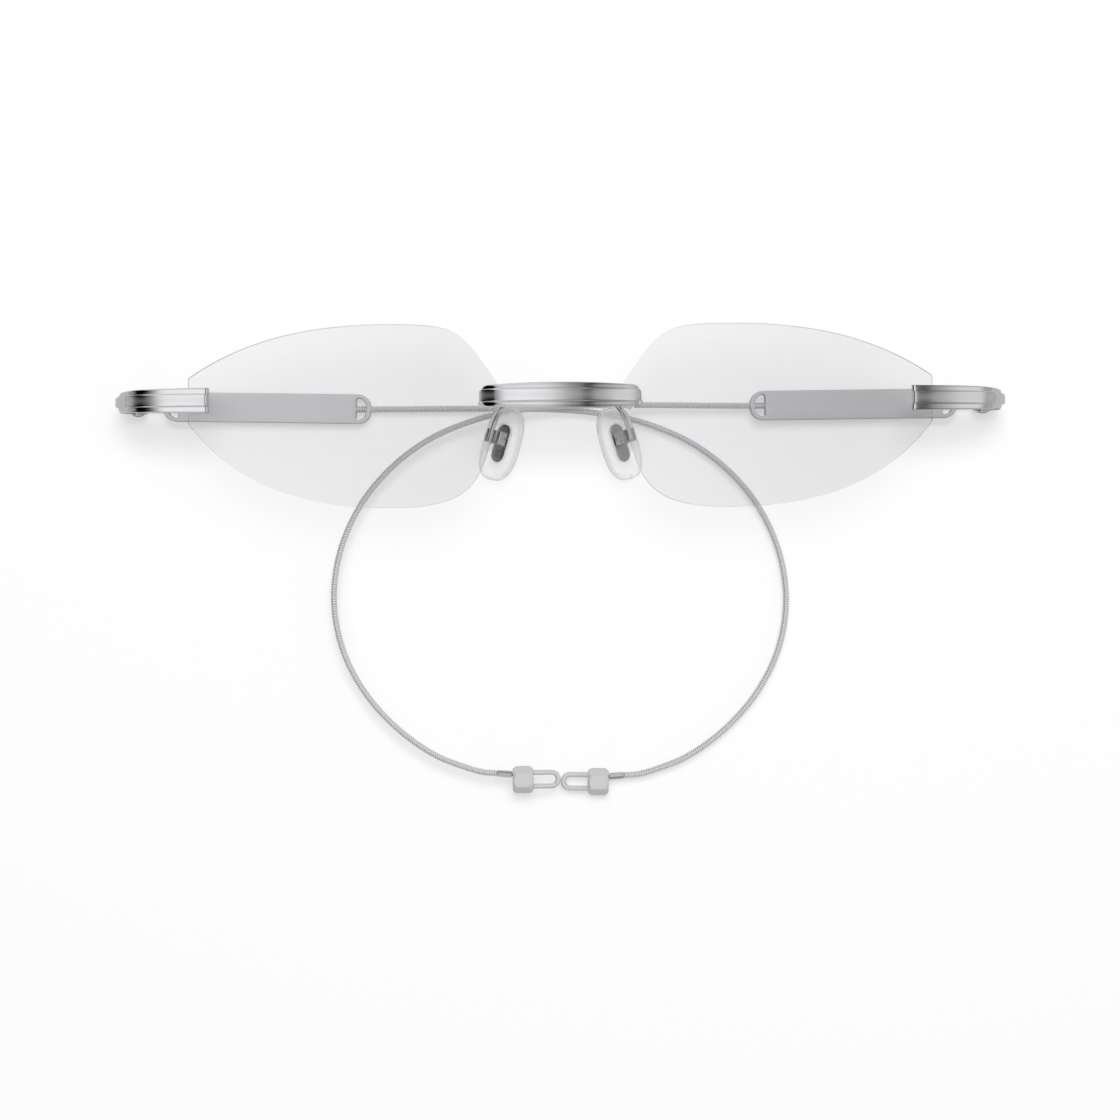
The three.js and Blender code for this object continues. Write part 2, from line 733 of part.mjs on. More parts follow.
// Fittings lie along X, at the end of the cable, and start from the middle of the frame.
function atFitting(geometry) {
  return geometry.translate(-hingeX, -templeDrop - fittingDrop, fittingRise);
}

// Wound wire up to the ferrule, with its core going on into the nut
function templeCable() {
  const core = rod('x', coreRadius, -windingEnd - seatGap, coreSeat - nutOuter).translate(0, cableOffset, 0);
  return join(wire(cableRoute(), cableRadius, cableSteps), atFitting(core));
}

function ferrule() {
  const sleeve = rod('x', ferruleRadius, solderGap - windingEnd, -nutOuter - boreGap);
  const hole = rod('x', coreRadius + solderGap, -windingEnd - ferruleLength, 0);
  return atFitting(cut(sleeve, hole).translate(0, cableOffset, 0));
}

function endNut() {
  const corner = nutFlats / Math.sqrt(3);
  const hex = new THREE.CylinderGeometry(corner, corner, nutLength, 6);
  hex.rotateY(Math.PI / 6).rotateZ(-quarterTurn).translate(-(nutInner + nutOuter) / 2, 0, 0);
  const profile = [
    [0, nutInner],
    [corner - nutChamfer, nutInner],
    [corner, nutInner + nutChamfer],
    [corner, nutOuter - nutChamfer],
    [corner - nutChamfer, nutOuter],
    [0, nutOuter],
  ];
  const chamfered = common(hex, turned(profile, nutSides).rotateZ(quarterTurn));
  const coreHole = rod('x', coreRadius + boreGap, -nutOuter - seatGap, boreGap + coreSeat - nutOuter)
    .translate(0, cableOffset, 0);
  const legHoles = [-1, 1].map((side) => (
    rod('x', eyeletWireRadius + boreGap, -nutInner - eyeletSeat - boreGap, 0)
      .translate(0, side * (eyeletHeight / 2 - eyeletWireRadius), 0)
  ));
  return atFitting(cut(chamfered, coreHole, ...legHoles));
}

// A U of wire, with its legs in the nut
function endEyelet() {
  const bend = eyeletHeight / 2 - eyeletWireRadius;
  const bendX = -eyeletGap - eyeletWireRadius - bend;
  const legEnd = -nutInner - eyeletSeat;
  const route = new THREE.CurvePath();
  const upperRoot = new THREE.Vector3(legEnd, bend, 0);
  const upperBend = new THREE.Vector3(bendX, bend, 0);
  const lowerBend = new THREE.Vector3(bendX, -bend, 0);
  const lowerRoot = new THREE.Vector3(legEnd, -bend, 0);
  const handle = (4 / 3) * bend;
  route.add(new THREE.LineCurve3(upperRoot, upperBend));
  route.add(new THREE.CubicBezierCurve3(
    upperBend,
    upperBend.clone().setX(bendX + handle),
    lowerBend.clone().setX(bendX + handle),
    lowerBend,
  ));
  route.add(new THREE.LineCurve3(lowerBend, lowerRoot));
  return atFitting(wire(route, eyeletWireRadius, eyeletSteps));
}

// Finishes
const clearLens = { color: 0xeeeef1, roughness: 0.05, metalness: 0, transparent: true, opacity: 0.3 };
const satinSteel = { color: 0xc2c2c4, roughness: 0.32, metalness: 1 };
const polishedSteel = { color: 0xd2d2d4, roughness: 0.15, metalness: 1 };
const woundWire = { color: 0xb4b4b6, roughness: 0.4, metalness: 1 };
const clearSilicone = { color: 0xf2f2f2, roughness: 0.35, metalness: 0, transparent: true, opacity: 0.6 };
const clearNylon = { color: 0xe6e6e6, roughness: 0.4, metalness: 0 };

function piece(name, geometry, finish) {
  const mesh = new THREE.Mesh(geometry, new THREE.MeshStandardMaterial(finish));
  mesh.name = name;
  return mesh;
}

function placed(group, ...pieces) {
  group.add(...pieces);
  return group;
}

// One side: X is mirrored for the left. The fold is what the temple leans towards the lens.
function side(word, mirror, fold, slope) {
  const temple = new THREE.Group();
  temple.position.set(hingeX, 0, hingeHeight);
  temple.rotation.set(0, fold, slope * degrees);
  placed(
    temple,
    piece(`hinge_eye_${word}`, hingeEye(), satinSteel),
    piece(`temple_plate_${word}`, templePlate(), satinSteel),
    piece(`temple_cable_${word}`, templeCable(), woundWire),
    piece(`ferrule_${word}`, ferrule(), polishedSteel),
    piece(`end_nut_${word}`, endNut(), satinSteel),
    piece(`end_eyelet_${word}`, endEyelet(), satinSteel),
  );
  const pad = placed(
    padFrame(),
    piece(`nose_pad_${word}`, nosePad(), clearSilicone),
    piece(`pad_core_${word}`, padCore(), satinSteel),
    piece(`pad_box_${word}`, padBox(), satinSteel),
    piece(`pad_screw_${word}`, padScrew(), polishedSteel),
  );
  const half = new THREE.Group();
  half.scale.x = mirror;
  return placed(
    half,
    piece(`lens_${word}`, lens(), clearLens),
    piece(`endpiece_${word}`, endpiece(), polishedSteel),
    piece(`bridge_bush_${word}`, lensBush(bridgeHole), clearNylon),
    piece(`endpiece_bush_${word}`, lensBush(endpieceHole), clearNylon),
    piece(`bridge_screw_${word}`, lensScrew(bridgeHole, bridgeSeat), polishedSteel),
    piece(`endpiece_screw_${word}`, lensScrew(endpieceHole, endpieceSeat), polishedSteel),
    piece(`hinge_screw_${word}`, hingeScrew(), polishedSteel),
    piece(`pad_arm_${word}`, padArm(), polishedSteel),
    pad,
    temple,
  );
}

// The right temple leans in so far that its cable crosses over the left one.
const rightFold = Math.asin((2 * cableRadius + crossingGap) / hingeX);
const glasses = new THREE.Group();
glasses.add(piece('bridge', bridge(), polishedSteel));
glasses.add(side('left', -1, 0, leftTempleSlope));
glasses.add(side('right', 1, rightFold, rightTempleSlope));

// The origin is on the table, under the middle of the whole outline.
const outline = new THREE.Box3().setFromObject(glasses, true);
const middle = outline.getCenter(new THREE.Vector3());
glasses.children.forEach((child) => child.position.set(-middle.x, -middle.y, -outline.min.z));

export default glasses;
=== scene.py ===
"""Folded rimless glasses with cable temples, finished around their packed model.

The packed model gives every place. Each piece here is a smooth surface worked out on a grid, and takes the
place of the plain solid of the same piece. Metres. X to the viewer's right, Y up as worn, Z up.
Side pieces are worked out for the right and mirrored for the left. Heights along Y start at the fixing line,
on which the hinges lie, until a piece is put in place.
"""

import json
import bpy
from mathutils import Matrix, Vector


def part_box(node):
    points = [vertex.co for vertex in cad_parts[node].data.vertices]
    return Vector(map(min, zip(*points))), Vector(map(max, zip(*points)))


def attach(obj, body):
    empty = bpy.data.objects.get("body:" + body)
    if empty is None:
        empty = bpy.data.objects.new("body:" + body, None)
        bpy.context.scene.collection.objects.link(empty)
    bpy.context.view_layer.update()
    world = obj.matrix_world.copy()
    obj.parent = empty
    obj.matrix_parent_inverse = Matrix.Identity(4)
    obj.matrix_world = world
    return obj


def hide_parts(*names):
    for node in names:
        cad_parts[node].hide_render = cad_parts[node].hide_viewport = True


bl_info = {
    "name": "Rimless cable-temple glasses",
    "version": (1, 0, 0),
    "blender": (4, 5, 0),
    "location": "View3D > Sidebar > Glasses",
    "description": "Finished surfaces, materials and studio for a pair of folded rimless glasses",
    "category": "Add Mesh",
}

from collections import namedtuple
from functools import cache

import bpy
import numpy as np
from bpy.props import FloatProperty, FloatVectorProperty, PointerProperty
from mathutils import Vector
from mathutils.geometry import delaunay_2d_cdt

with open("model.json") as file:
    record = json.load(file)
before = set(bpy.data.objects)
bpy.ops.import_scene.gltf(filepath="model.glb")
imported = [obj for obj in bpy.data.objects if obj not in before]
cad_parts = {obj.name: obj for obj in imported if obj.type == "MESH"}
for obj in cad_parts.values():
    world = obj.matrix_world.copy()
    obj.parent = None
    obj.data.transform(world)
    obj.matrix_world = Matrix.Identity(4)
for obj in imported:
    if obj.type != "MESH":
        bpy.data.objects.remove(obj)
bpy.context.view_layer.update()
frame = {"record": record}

MM = 0.001
DEGREE = np.pi / 180
QUARTER = np.pi / 2

# Places from the packed model
PIVOTS = {joint["child"]: np.array(joint["pos_m"]) for joint in frame["record"]["behaviour"]["joints"]}
MIDDLE_X, FIXING_Y, HINGE_Z = (PIVOTS["left_temple"] + PIVOTS["right_temple"]) / 2
HINGE_X = PIVOTS["right_temple"][0] - MIDDLE_X
LENS_TOP_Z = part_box("lens_right")[1][2]
BRIDGE_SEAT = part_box("bridge")[0][2]
ENDPIECE_INNER_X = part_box("endpiece_right")[0][0] - MIDDLE_X
ENDPIECE_TOP_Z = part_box("endpiece_right")[1][2]

# Fits and small sizes that the solids share
SEAT_GAP = 0.3 * MM
BORE_GAP = 0.1 * MM
SLIDE_GAP = 0.25 * MM
SOLDER_GAP = 0.06 * MM
SCREW_RADIUS = 0.5 * MM
SCREW_COVER = 0.2 * MM
BUSH_WALL = 0.2 * MM
BUSH_FLANGE = 0.35 * MM
BUSH_FLANGE_RADIUS = 1.2 * MM
POST_RADIUS = 0.9 * MM
PIN_RADIUS = 0.55 * MM
STEM_RADIUS = 0.55 * MM
KNUCKLE_RADIUS = 1.6 * MM
KNUCKLE_HEIGHT = 2.8 * MM
KNUCKLE_BEVEL = 0.1 * MM
EYE_HEIGHT = 0.9 * MM
LEG_PROUD = 1.1 * MM
TEMPLE_DROP = 0.13 * MM
TEMPLE_SLOPES = {"left": 1 * DEGREE, "right": 0.6 * DEGREE}
WIRE_SEAT = 3.5 * MM
CROSSING_GAP = 0.35 * MM
CORE_RADIUS = 0.35 * MM
CORE_SEAT = 1.6 * MM
FERRULE_LEAN = 5.5 * DEGREE
EYELET_SEAT = 0.8 * MM
EYELET_GAP = 0.9 * MM
HOOK_RUNOUT = 0.5 * MM
CABLE_OFFSET = 0.9 * MM

# Hook of a cable: millimetres past the middle of the frame, and below the temple line
HOOK_ROUTE = [
    (-12, -0.4),
    (0, -0.4),
    (8, 0.3),
    (15.2, 1.95),
    (22.7, 5.1),
    (29.3, 10),
    (34.5, 16.3),
    (37.9, 23.8),
    (39.1, 31.9),
    (37.9, 40),
    (34.4, 47.4),
    (29.1, 53.7),
    (22.6, 58.6),
    (17.5, 60.8),
    (14.2, 61.8),
]

# Edge rounding and mesh steps
BEVEL_STEPS = 4
ROUND_SIDES = 48
KNUCKLE_NET = 0.5 * MM
SHARP_ANGLE = 38 * DEGREE

SIDES = (("left", -1), ("right", 1))

# A closed shape, and where each of its points lies in the pattern of its surface
Shape = namedtuple("Shape", "points triangles quads lay")


def linear(code):
    """Linear colour of an sRGB hex value."""
    srgb = np.array([int(code[i:i + 2], 16) for i in (0, 2, 4)]) / 255
    return tuple(np.where(srgb <= 0.04045, srgb / 12.92, ((srgb + 0.055) / 1.055) ** 2.4))


def length(name, description, millimetres):
    """A size property in metres, given in millimetres."""
    return FloatProperty(
        name=name, description=description, default=millimetres * MM, min=0, precision=5, unit="LENGTH"
    )


def angle(name, description, degrees):
    """An angle property, given in degrees."""
    return FloatProperty(name=name, description=description, default=degrees * DEGREE, subtype="ANGLE")


def colour(name, description, code):
    """A colour property, given as an sRGB hex value."""
    return FloatVectorProperty(
        name=name, description=description, default=linear(code), size=3, min=0, max=1, subtype="COLOR"
    )


class LensSettings(bpy.types.PropertyGroup):
    """Leaf-shaped lens with a pointed inner end and a straight-cut outer tip."""

    gap: length("Gap", "Distance between the inner points of the two lenses", 20)
    width: length("Width", "Inner point to outer tip", 52)
    crown: length("Crown", "Top of the lens above the fixing line", 12.55)
    keel: length("Keel", "Bottom of the lens below the fixing line", 17.94)
    shoulder: length("Shoulder", "Inner point to the tallest place", 18.2)
    tip: length("Tip", "Height of the straight cut", 7.52)
    thickness: length("Thickness", "Lens thickness", 2)
    front_radius: length("Front radius", "Radius of the front curve", 220)
    edge_bevel: length("Edge bevel", "Polished bevel along the rim", 0.02)
    corner_round: length("Corner rounding", "How far the tip's corners are eased", 0.3)
    hole_inset: length("Hole inset", "Fixing holes from the inner point and from the tip", 2)
    tint: colour("Tint", "What the lens leaves of white light", "F3F3F4")


class StripSettings(bpy.types.PropertyGroup):
    """Stepped metal strip of the bridge and endpieces."""

    base: length("Base", "Thickness of the two steps", 0.9)
    proud: length("Proud", "How far the middle band stands over the steps", 0.5)
    band: length("Band", "Height of the middle band", 2.05)
    band_crown: length("Band crown", "Bulge of the middle band", 0.05)
    band_draw: length("Band draw", "What the middle band loses where the strip turns back", 0.6)
    step_fall: length("Step fall", "How far the two steps fall towards their edges", 0.12)
    bridge_overlap: length("Bridge overlap", "Bridge past the inner point of the lens", 3.4)
    bridge_rise: length("Bridge rise", "Bridge above the fixing line", 0.5)
    bridge_middle: length("Bridge middle", "Bridge height at its middle", 4.25)
    bridge_end: length("Bridge end", "Bridge height at its ends", 3.45)
    bridge_arc: length("Bridge arc", "Radius of the bridge's back face", 40)
    bridge_foot: length("Bridge foot", "Bridge height where its ends are cut", 2.3)
    bridge_shoulder: length("Bridge shoulder", "Radius of the back face towards the ends", 8)
    bridge_tilt: angle("Bridge tilt", "Slope of the front face at the ends", 30)
    bridge_bend: length("Bridge bend", "Inside radius of the turned-back ends", 0.8)
    bridge_leg: length("Bridge leg", "Straight part of the turned-back ends", 0.23)
    endpiece_height: length("Endpiece height", "Endpiece height at its inner end", 4.2)
    endpiece_leg: length("Endpiece leg", "Endpiece height at its outer end", 3.9)
    endpiece_foot: length("Endpiece foot", "Endpiece height over the knuckles", 2)
    endpiece_arc: length("Endpiece arc", "Radius of the endpiece's back face over the lens", 50)
    endpiece_bend: length("Endpiece bend", "Inside radius of the endpiece bend", 6)
    endpiece_ease: length("Endpiece ease", "Rounding of the endpiece's inner end", 0.6)
    colour: colour("Polished metal", "Reflected colour of the polished metal", "E8E8EA")


class TempleSettings(bpy.types.PropertyGroup):
    """Flat plates and wound cables of the temples."""

    plate_start: length("Plate start", "Hinge axis to the plate", 4.45)
    plate_length: length("Plate length", "Length of the flat plate", 35.6)
    plate_height: length("Plate height", "Height of the flat plate", 4.98)
    plate_thickness: length("Plate thickness", "Thickness of the flat plate", 1.8)
    plate_round: length("Plate corners", "Corner radius of the plate", 2.2)
    plate_bevel: length("Plate bevel", "Rounded edge of the plate", 0.22)
    end_bar: length("End bar", "Metal between the window and the plate's end", 0.8)
    side_bar: length("Side bar", "Metal beside the window", 0.62)
    window: length("Window", "Length of the D-shaped window", 1.75)
    cable_radius: length("Cable radius", "Outside radius of the wound cable", 0.53)
    rib_pitch: length("Rib pitch", "Spacing of the winding, drawn coarser than the real one to show", 0.42)
    rib_depth: length("Rib depth", "Depth of the grooves of the winding", 0.1)
    satin: colour("Satin metal", "Reflected colour of the satin metal", "E8E8E9")
    # Painted shade: the groove colour stands for the shade deep in the winding
    groove: colour("Groove", "Colour deep in the winding", "6C6C6F")
    ridge: colour("Ridge", "Colour on the ridges of the winding", "F4F4F5")


class FittingSettings(bpy.types.PropertyGroup):
    """Sleeve, nut and eyelet at the end of a cable."""

    ferrule_length: length("Ferrule length", "Length of the sleeve", 2.5)
    ferrule_radius: length("Ferrule radius", "Outside radius of the sleeve", 0.58)
    nut_flats: length("Nut flats", "Distance across the flats", 4.1)
    nut_length: length("Nut length", "Length of the nut", 3.55)
    nut_chamfer: length("Nut chamfer", "Turned chamfer of the nut's corners", 0.55)
    eyelet_length: length("Eyelet length", "Nut face to the eyelet's tip", 4.65)
    eyelet_height: length("Eyelet height", "Height of the eyelet", 3.2)
    eyelet_wire: length("Eyelet wire", "Radius of the eyelet's wire", 0.43)


class PadSettings(bpy.types.PropertyGroup):
    """Silicone nose pads with their metal mounts."""

    inset: length("Inset", "Pad middle from the inner point of the lens", 0)
    drop: length("Drop", "Pad middle below the fixing line", 7)
    gap: length("Gap", "Pad arm behind the lens", 0.5)
    splay: angle("Splay", "How far the mount side turns outwards", 35)
    flare: angle("Flare", "How far the lower end moves outwards", 16)
    pad_length: length("Length", "Pad length", 12.8)
    pad_width: length("Width", "Pad width", 7.4)
    crown: length("Crown", "Depth of the crowned side", 1.9)
    back: length("Back", "Flat mount side from the middle plane", 0.55)
    slot_length: length("Slot length", "Slot for the metal core", 6.8)
    slot_width: length("Slot width", "Slot for the metal core", 3)
    slot_depth: length("Slot depth", "Slot for the metal core", 0.9)
    core: length("Core", "Thickness of the metal core", 0.45)
    lug_width: length("Lug width", "Lug that the pad screw goes through", 0.9)
    lug_radius: length("Lug radius", "Lug that the pad screw goes through", 0.8)
    screw_rise: length("Screw rise", "Screw axis above the mount side", 1)
    screw_shift: length("Screw shift", "Screw axis towards the pad's upper end", 0.7)
    screw_radius: length("Screw radius", "Shank of the pad screw", 0.35)
    screw_head: length("Screw head", "Radius of the screw's domed head", 0.8)
    box_width: length("Box width", "Width of the box over the lug", 3.2)
    box_length: length("Box length", "Length of the box over the lug", 2.2)
    box_roof: length("Box roof", "Roof of the box over the lug", 0.35)
    arm_radius: length("Arm radius", "Radius of the pad arm's wire", 0.43)
    arm_inset: length("Arm inset", "Arm root from the inner point of the lens", 0.9)
    silicone: colour("Silicone", "Colour of the clear pads", "FFFFFF")
    # Painted shade: the pad mounts get a darker metal colour for the shade they sit in
    metal: colour("Pad metal", "Reflected colour of the pad mounts", "D4D4D6")


class StageSettings(bpy.types.PropertyGroup):
    """White table, soft light and a camera straight above."""

    camera_height: length("Camera height", "Camera above the table", 400)
    camera_right: length("Camera right", "Camera from the middle, to the right", -0.17)
    camera_drop: length("Camera drop", "Camera below the fixing line", 26.74)
    camera_roll: angle("Camera roll", "Roll of the camera", -0.25)
    focal_length: FloatProperty(
        name="Focal length", description="Focal length in millimetres", default=74.7, unit="CAMERA"
    )
    floor_width: length("Floor width", "Side of the square table", 2400)
    fade_start: length("Fade start", "Where the table starts to fade out", 250)
    fade_end: length("Fade end", "Where the table is gone", 1150)
    lamp_distance: length("Lamp distance", "Soft lamp from the middle", 900)
    lamp_width: length("Lamp width", "Side of the square soft lamp", 420)
    lamp_power: FloatProperty(
        name="Lamp power", description="Power of the soft lamp", default=5.2, unit="POWER"
    )
    floor: colour("Floor", "Colour of the table", "FCFCFC")


SETTINGS = {
    "glasses_lens": LensSettings,
    "glasses_strip": StripSettings,
    "glasses_temple": TempleSettings,
    "glasses_fitting": FittingSettings,
    "glasses_pad": PadSettings,
    "glasses_stage": StageSettings,
}


# Surfaces


def unit(rows):
    """Rows of numbers, each divided by its own length."""
    return rows / np.linalg.norm(rows, axis=1)[:, None]


def distances(line):
    """Distance of each point of a line from the line's start."""
    return np.concatenate([[0], np.cumsum(np.linalg.norm(np.diff(line, axis=0), axis=1))])


def full_turn(sides):
    """Even angles round a full turn, without its end."""
    return np.linspace(0, 2 * np.pi, sides, endpoint=False)


def outward(points, triangles, quads, lay):
    """A closed shape whose faces point outwards: turned round where its signed volume is negative."""
    split = np.vstack([triangles, quads[:, [0, 1, 2]], quads[:, [0, 2, 3]]])
    a, b, c = (points[split[:, i]] for i in range(3))
    if np.einsum("ij,ij->", a, np.cross(b, c)) < 0:
        triangles = triangles[:, ::-1]
        quads = quads[:, ::-1]
    return Shape(points, triangles, quads, points if lay is None else lay)


def fan(ring, apex):
    """Triangles from each edge of a closed ring of corners to an apex."""
    return np.column_stack([ring, np.roll(ring, -1), np.full(len(ring), apex)])


def grid(rows, first=None, last=None, looped=False, lay=None):
    """Quads over rows of points, each row a closed ring. A point given as first or last closes that end.

    A looped grid joins its last row to its first, and needs no ends.
    """
    count, around = rows.shape[:2]
    index = np.arange(count * around).reshape(count, around)
    near = index if looped else index[:-1]
    far = np.roll(index, -1, axis=0) if looped else index[1:]
    corners = (near, np.roll(near, -1, axis=1), np.roll(far, -1, axis=1), far)
    quads = np.column_stack([corner.ravel() for corner in corners])
    points = rows.reshape(-1, 3)
    triangles = np.empty((0, 3), int)
    for apex, ring in ((first, index[0]), (last, index[-1][::-1])):
        if apex is None:
            continue
        triangles = np.vstack([triangles, fan(ring[::-1], len(points))])
        points = np.vstack([points, apex])
        lay = None if lay is None else np.vstack([lay, lay[ring].mean(axis=0)])
    return outward(points, triangles, quads, lay)


def turned(profile, sides=ROUND_SIDES):
    """A lathe shape about Z: each (radius, height) of the profile becomes a ring.

    A profile that starts and ends on the axis closes in points there. Any other profile closes on itself.
    """
    profile = np.asarray(profile, float)
    turn = full_turn(sides)
    closed = profile[0, 0] > 0
    rings = profile if closed else profile[1:-1]
    rows = np.stack(
        [
            rings[:, :1] * np.cos(turn),
            rings[:, :1] * np.sin(turn),
            np.broadcast_to(rings[:, 1:], (len(rings), sides)),
        ],
        axis=2,
    )
    if closed:
        return grid(rows, looped=True)
    return grid(rows, first=(0, 0, profile[0, 1]), last=(0, 0, profile[-1, 1]))


def eased(corners, radius, steps=BEVEL_STEPS):
    """An outline with eased corners.

    Each corner becomes a quadratic curve that starts and ends a radius away from it.
    """
    corners = np.asarray(corners, float)
    radius = np.broadcast_to(radius, len(corners))[:, None]
    start = corners - radius * unit(corners - np.roll(corners, 1, axis=0))
    end = corners + radius * unit(np.roll(corners, -1, axis=0) - corners)
    t = np.linspace(0, 1, steps + 1)[None, :, None]
    curve = (1 - t) ** 2 * start[:, None] + 2 * t * (1 - t) * corners[:, None] + t**2 * end[:, None]
    return curve.reshape(-1, corners.shape[1])


def resampled(line, count, closed=False):
    """Points at even distances along a line of points."""
    line = np.vstack([line, line[:1]]) if closed else np.asarray(line, float)
    along = distances(line)
    at = np.linspace(0, along[-1], count, endpoint=not closed)
    return np.column_stack([np.interp(at, along, line[:, i]) for i in range(line.shape[1])])


def on_circle(middle, radius, turn):
    """Points on a circle in a plane, at each turn."""
    return np.column_stack([middle[0] + radius * np.cos(turn), middle[1] + radius * np.sin(turn)])


def arc(middle, radius, start, end, count):
    """Points on an arc in a plane."""
    return on_circle(middle, radius, np.linspace(start, end, count))


def circle(radius, middle=(0, 0), sides=ROUND_SIDES, hole=False):
    """A round outline, run the other way round where it is a hole."""
    return on_circle(middle, radius, full_turn(sides) * (-1 if hole else 1))


def stadium_reach(turn, length_of_slot, width):
    """Distance from the middle to a stadium's edge in each direction.

    The stadium lies along Y. Its edge is a straight side or, past that side's end, the circle of a round end.
    """
    least = 1e-9
    r = width / 2
    straight = length_of_slot / 2 - r
    across, along = np.abs(np.cos(turn)), np.abs(np.sin(turn))
    side = r / np.maximum(across, least)
    round_end = along * straight + np.sqrt(np.maximum(r**2 - (across * straight) ** 2, 0))
    return np.where(side * along <= straight, side, round_end)


def inset(loop, distance):
    """A closed outline moved sideways into the material on its left."""
    along = np.roll(loop, -1, axis=0) - np.roll(loop, 1, axis=0)
    return loop + distance * unit(np.column_stack([-along[:, 1], along[:, 0]]))


def inside(points, loop):
    """Which points lie inside a closed outline: a ray from them to +X crosses an odd number of its edges."""
    start = loop
    end = np.roll(loop, -1, axis=0)
    x, y = points[:, :1], points[:, 1:]
    spans = (start[:, 1] > y) != (end[:, 1] > y)
    rise = np.where(end[:, 1] == start[:, 1], 1, end[:, 1] - start[:, 1])
    crossing = start[:, 0] + (y - start[:, 1]) * (end[:, 0] - start[:, 0]) / rise
    return (spans & (x < crossing)).sum(axis=1) % 2 == 1


def loop_corners(loops):
    """Corner numbers of each loop, where the loops lie one after the other."""
    starts = np.cumsum([0, *(len(loop) for loop in loops)])
    return [np.arange(start, end) for start, end in zip(starts[:-1], starts[1:])]


def flat_net(loops, bevel, spacing):
    """Corners and triangles of an outline with holes, all moved in by a bevel.

    The corners of the loops come first, and then an even net of points between them. The triangles are the
    constrained Delaunay net of all these corners, without the holes, and run anticlockwise.
    """
    lowest, highest = loops[0].min(axis=0), loops[0].max(axis=0)
    places = [np.arange(lowest[i] + spacing / 2, highest[i], spacing) for i in range(2)]
    net = np.stack(np.meshgrid(*places), axis=2).reshape(-1, 2)
    net = net[inside(net, inset(loops[0], bevel + spacing / 2))]
    for hole in loops[1:]:
        net = net[~inside(net, inset(hole, bevel + spacing / 2))]
    flat = np.vstack([*(inset(loop, bevel) for loop in loops), net])
    edges = np.vstack([np.column_stack([ring, np.roll(ring, -1)]) for ring in loop_corners(loops)])
    within_edges, same_point = 1, 1e-6
    corners = [Vector(point) for point in flat / MM]
    found = delaunay_2d_cdt(corners, edges.tolist(), [], within_edges, same_point)
    _, _, triangles, sources, _, _ = found
    order = np.array([source[0] for source in sources])
    faces = order[np.array(triangles)]
    middles = flat[faces].mean(axis=1)
    for hole in loops[1:]:
        solid = ~inside(middles, hole)
        faces, middles = faces[solid], middles[solid]
    across = flat[faces[:, 1]] - flat[faces[:, 0]]
    onward = flat[faces[:, 2]] - flat[faces[:, 0]]
    clockwise = across[:, 0] * onward[:, 1] < across[:, 1] * onward[:, 0]
    faces[clockwise] = faces[clockwise][:, ::-1]
    return flat, faces


def plate(loops, low, high, bevel, spacing, steps=BEVEL_STEPS):
    """A plate of an outline with holes, between two height functions of its plane, with rounded edges.

    The first loop is the outline, run anticlockwise, and the others are holes, run clockwise. Both faces are
    a net of triangles within the loops, moved in by the bevel. Round the edge the plate is lower by
    bevel * (1 - cos t) where it has moved in by bevel * (1 - sin t), for t from 0 to a quarter turn. In one
    step that is a flat bevel.
    """
    rings = loop_corners(loops)
    flat, faces = flat_net(loops, bevel, spacing)
    count = len(flat)
    points = [np.column_stack([flat, high(*flat.T)]), np.column_stack([flat, low(*flat.T)])]
    total = 2 * count
    quads = []
    quarter = np.linspace(0, QUARTER, steps + 1)[1:]
    for loop, ring in zip(loops, rings):
        stack = [ring]
        for surface, sign, turns in ((high, -1, quarter), (low, 1, quarter[::-1])):
            for t in turns:
                rim = inset(loop, bevel * (1 - np.sin(t)))
                height = surface(*rim.T) + sign * bevel * (1 - np.cos(t))
                points.append(np.column_stack([rim, height]))
                stack.append(total + np.arange(len(loop)))
                total += len(loop)
        stack.append(ring + count)
        for near, far in zip(stack[:-1], stack[1:]):
            quads.append(np.column_stack([near, far, np.roll(far, -1), np.roll(near, -1)]))
    triangles = np.vstack([faces, faces[:, ::-1] + count])
    return outward(np.vstack(points), triangles, np.vstack(quads), None)


def level(height):
    """A height function that is the same everywhere."""
    return lambda x, y: np.full(np.shape(x), height)


def moved(shape, matrix=np.eye(3), place=(0, 0, 0)):
    """A shape with its axes turned to the columns of a matrix, and then moved."""
    points = shape.points @ np.asarray(matrix, float).T + np.asarray(place)
    return outward(points, shape.triangles, shape.quads, shape.lay)


def turn_y(turn):
    """Matrix of a turn about Y."""
    c, s = np.cos(turn), np.sin(turn)
    return np.array([[c, 0, s], [0, 1, 0], [-s, 0, c]])


def turn_z(turn):
    """Matrix of a turn about Z."""
    c, s = np.cos(turn), np.sin(turn)
    return np.array([[c, -s, 0], [s, c, 0], [0, 0, 1]])


def frames(path, up):
    """Two directions across each point of a path: one square to it and to up, and one square to both."""
    ahead = unit(np.gradient(path, axis=0))
    aside = unit(np.cross(ahead, up))
    return aside, np.cross(aside, ahead)


def tube(path, radius, up, sides=24, lay=None):
    """A round tube: each path point carries a ring, whose radius may vary along and around it."""
    turn = full_turn(sides)
    radius = np.broadcast_to(radius, (len(path), sides))[:, :, None]
    aside, above = frames(path, up)
    ring = np.cos(turn)[None, :, None] * aside[:, None] + np.sin(turn)[None, :, None] * above[:, None]
    return grid(path[:, None] + radius * ring, first=path[0], last=path[-1], lay=lay)


def round_ended(path, radius):
    """Radii of a tube whose ends are drawn in over one radius, as a half ball is."""
    least = 1e-4
    along = distances(path)
    reach = np.minimum(np.minimum(along, along[-1] - along) / radius, 1)
    return (radius * np.sqrt(np.maximum(1 - (1 - reach) ** 2, least)))[:, None]


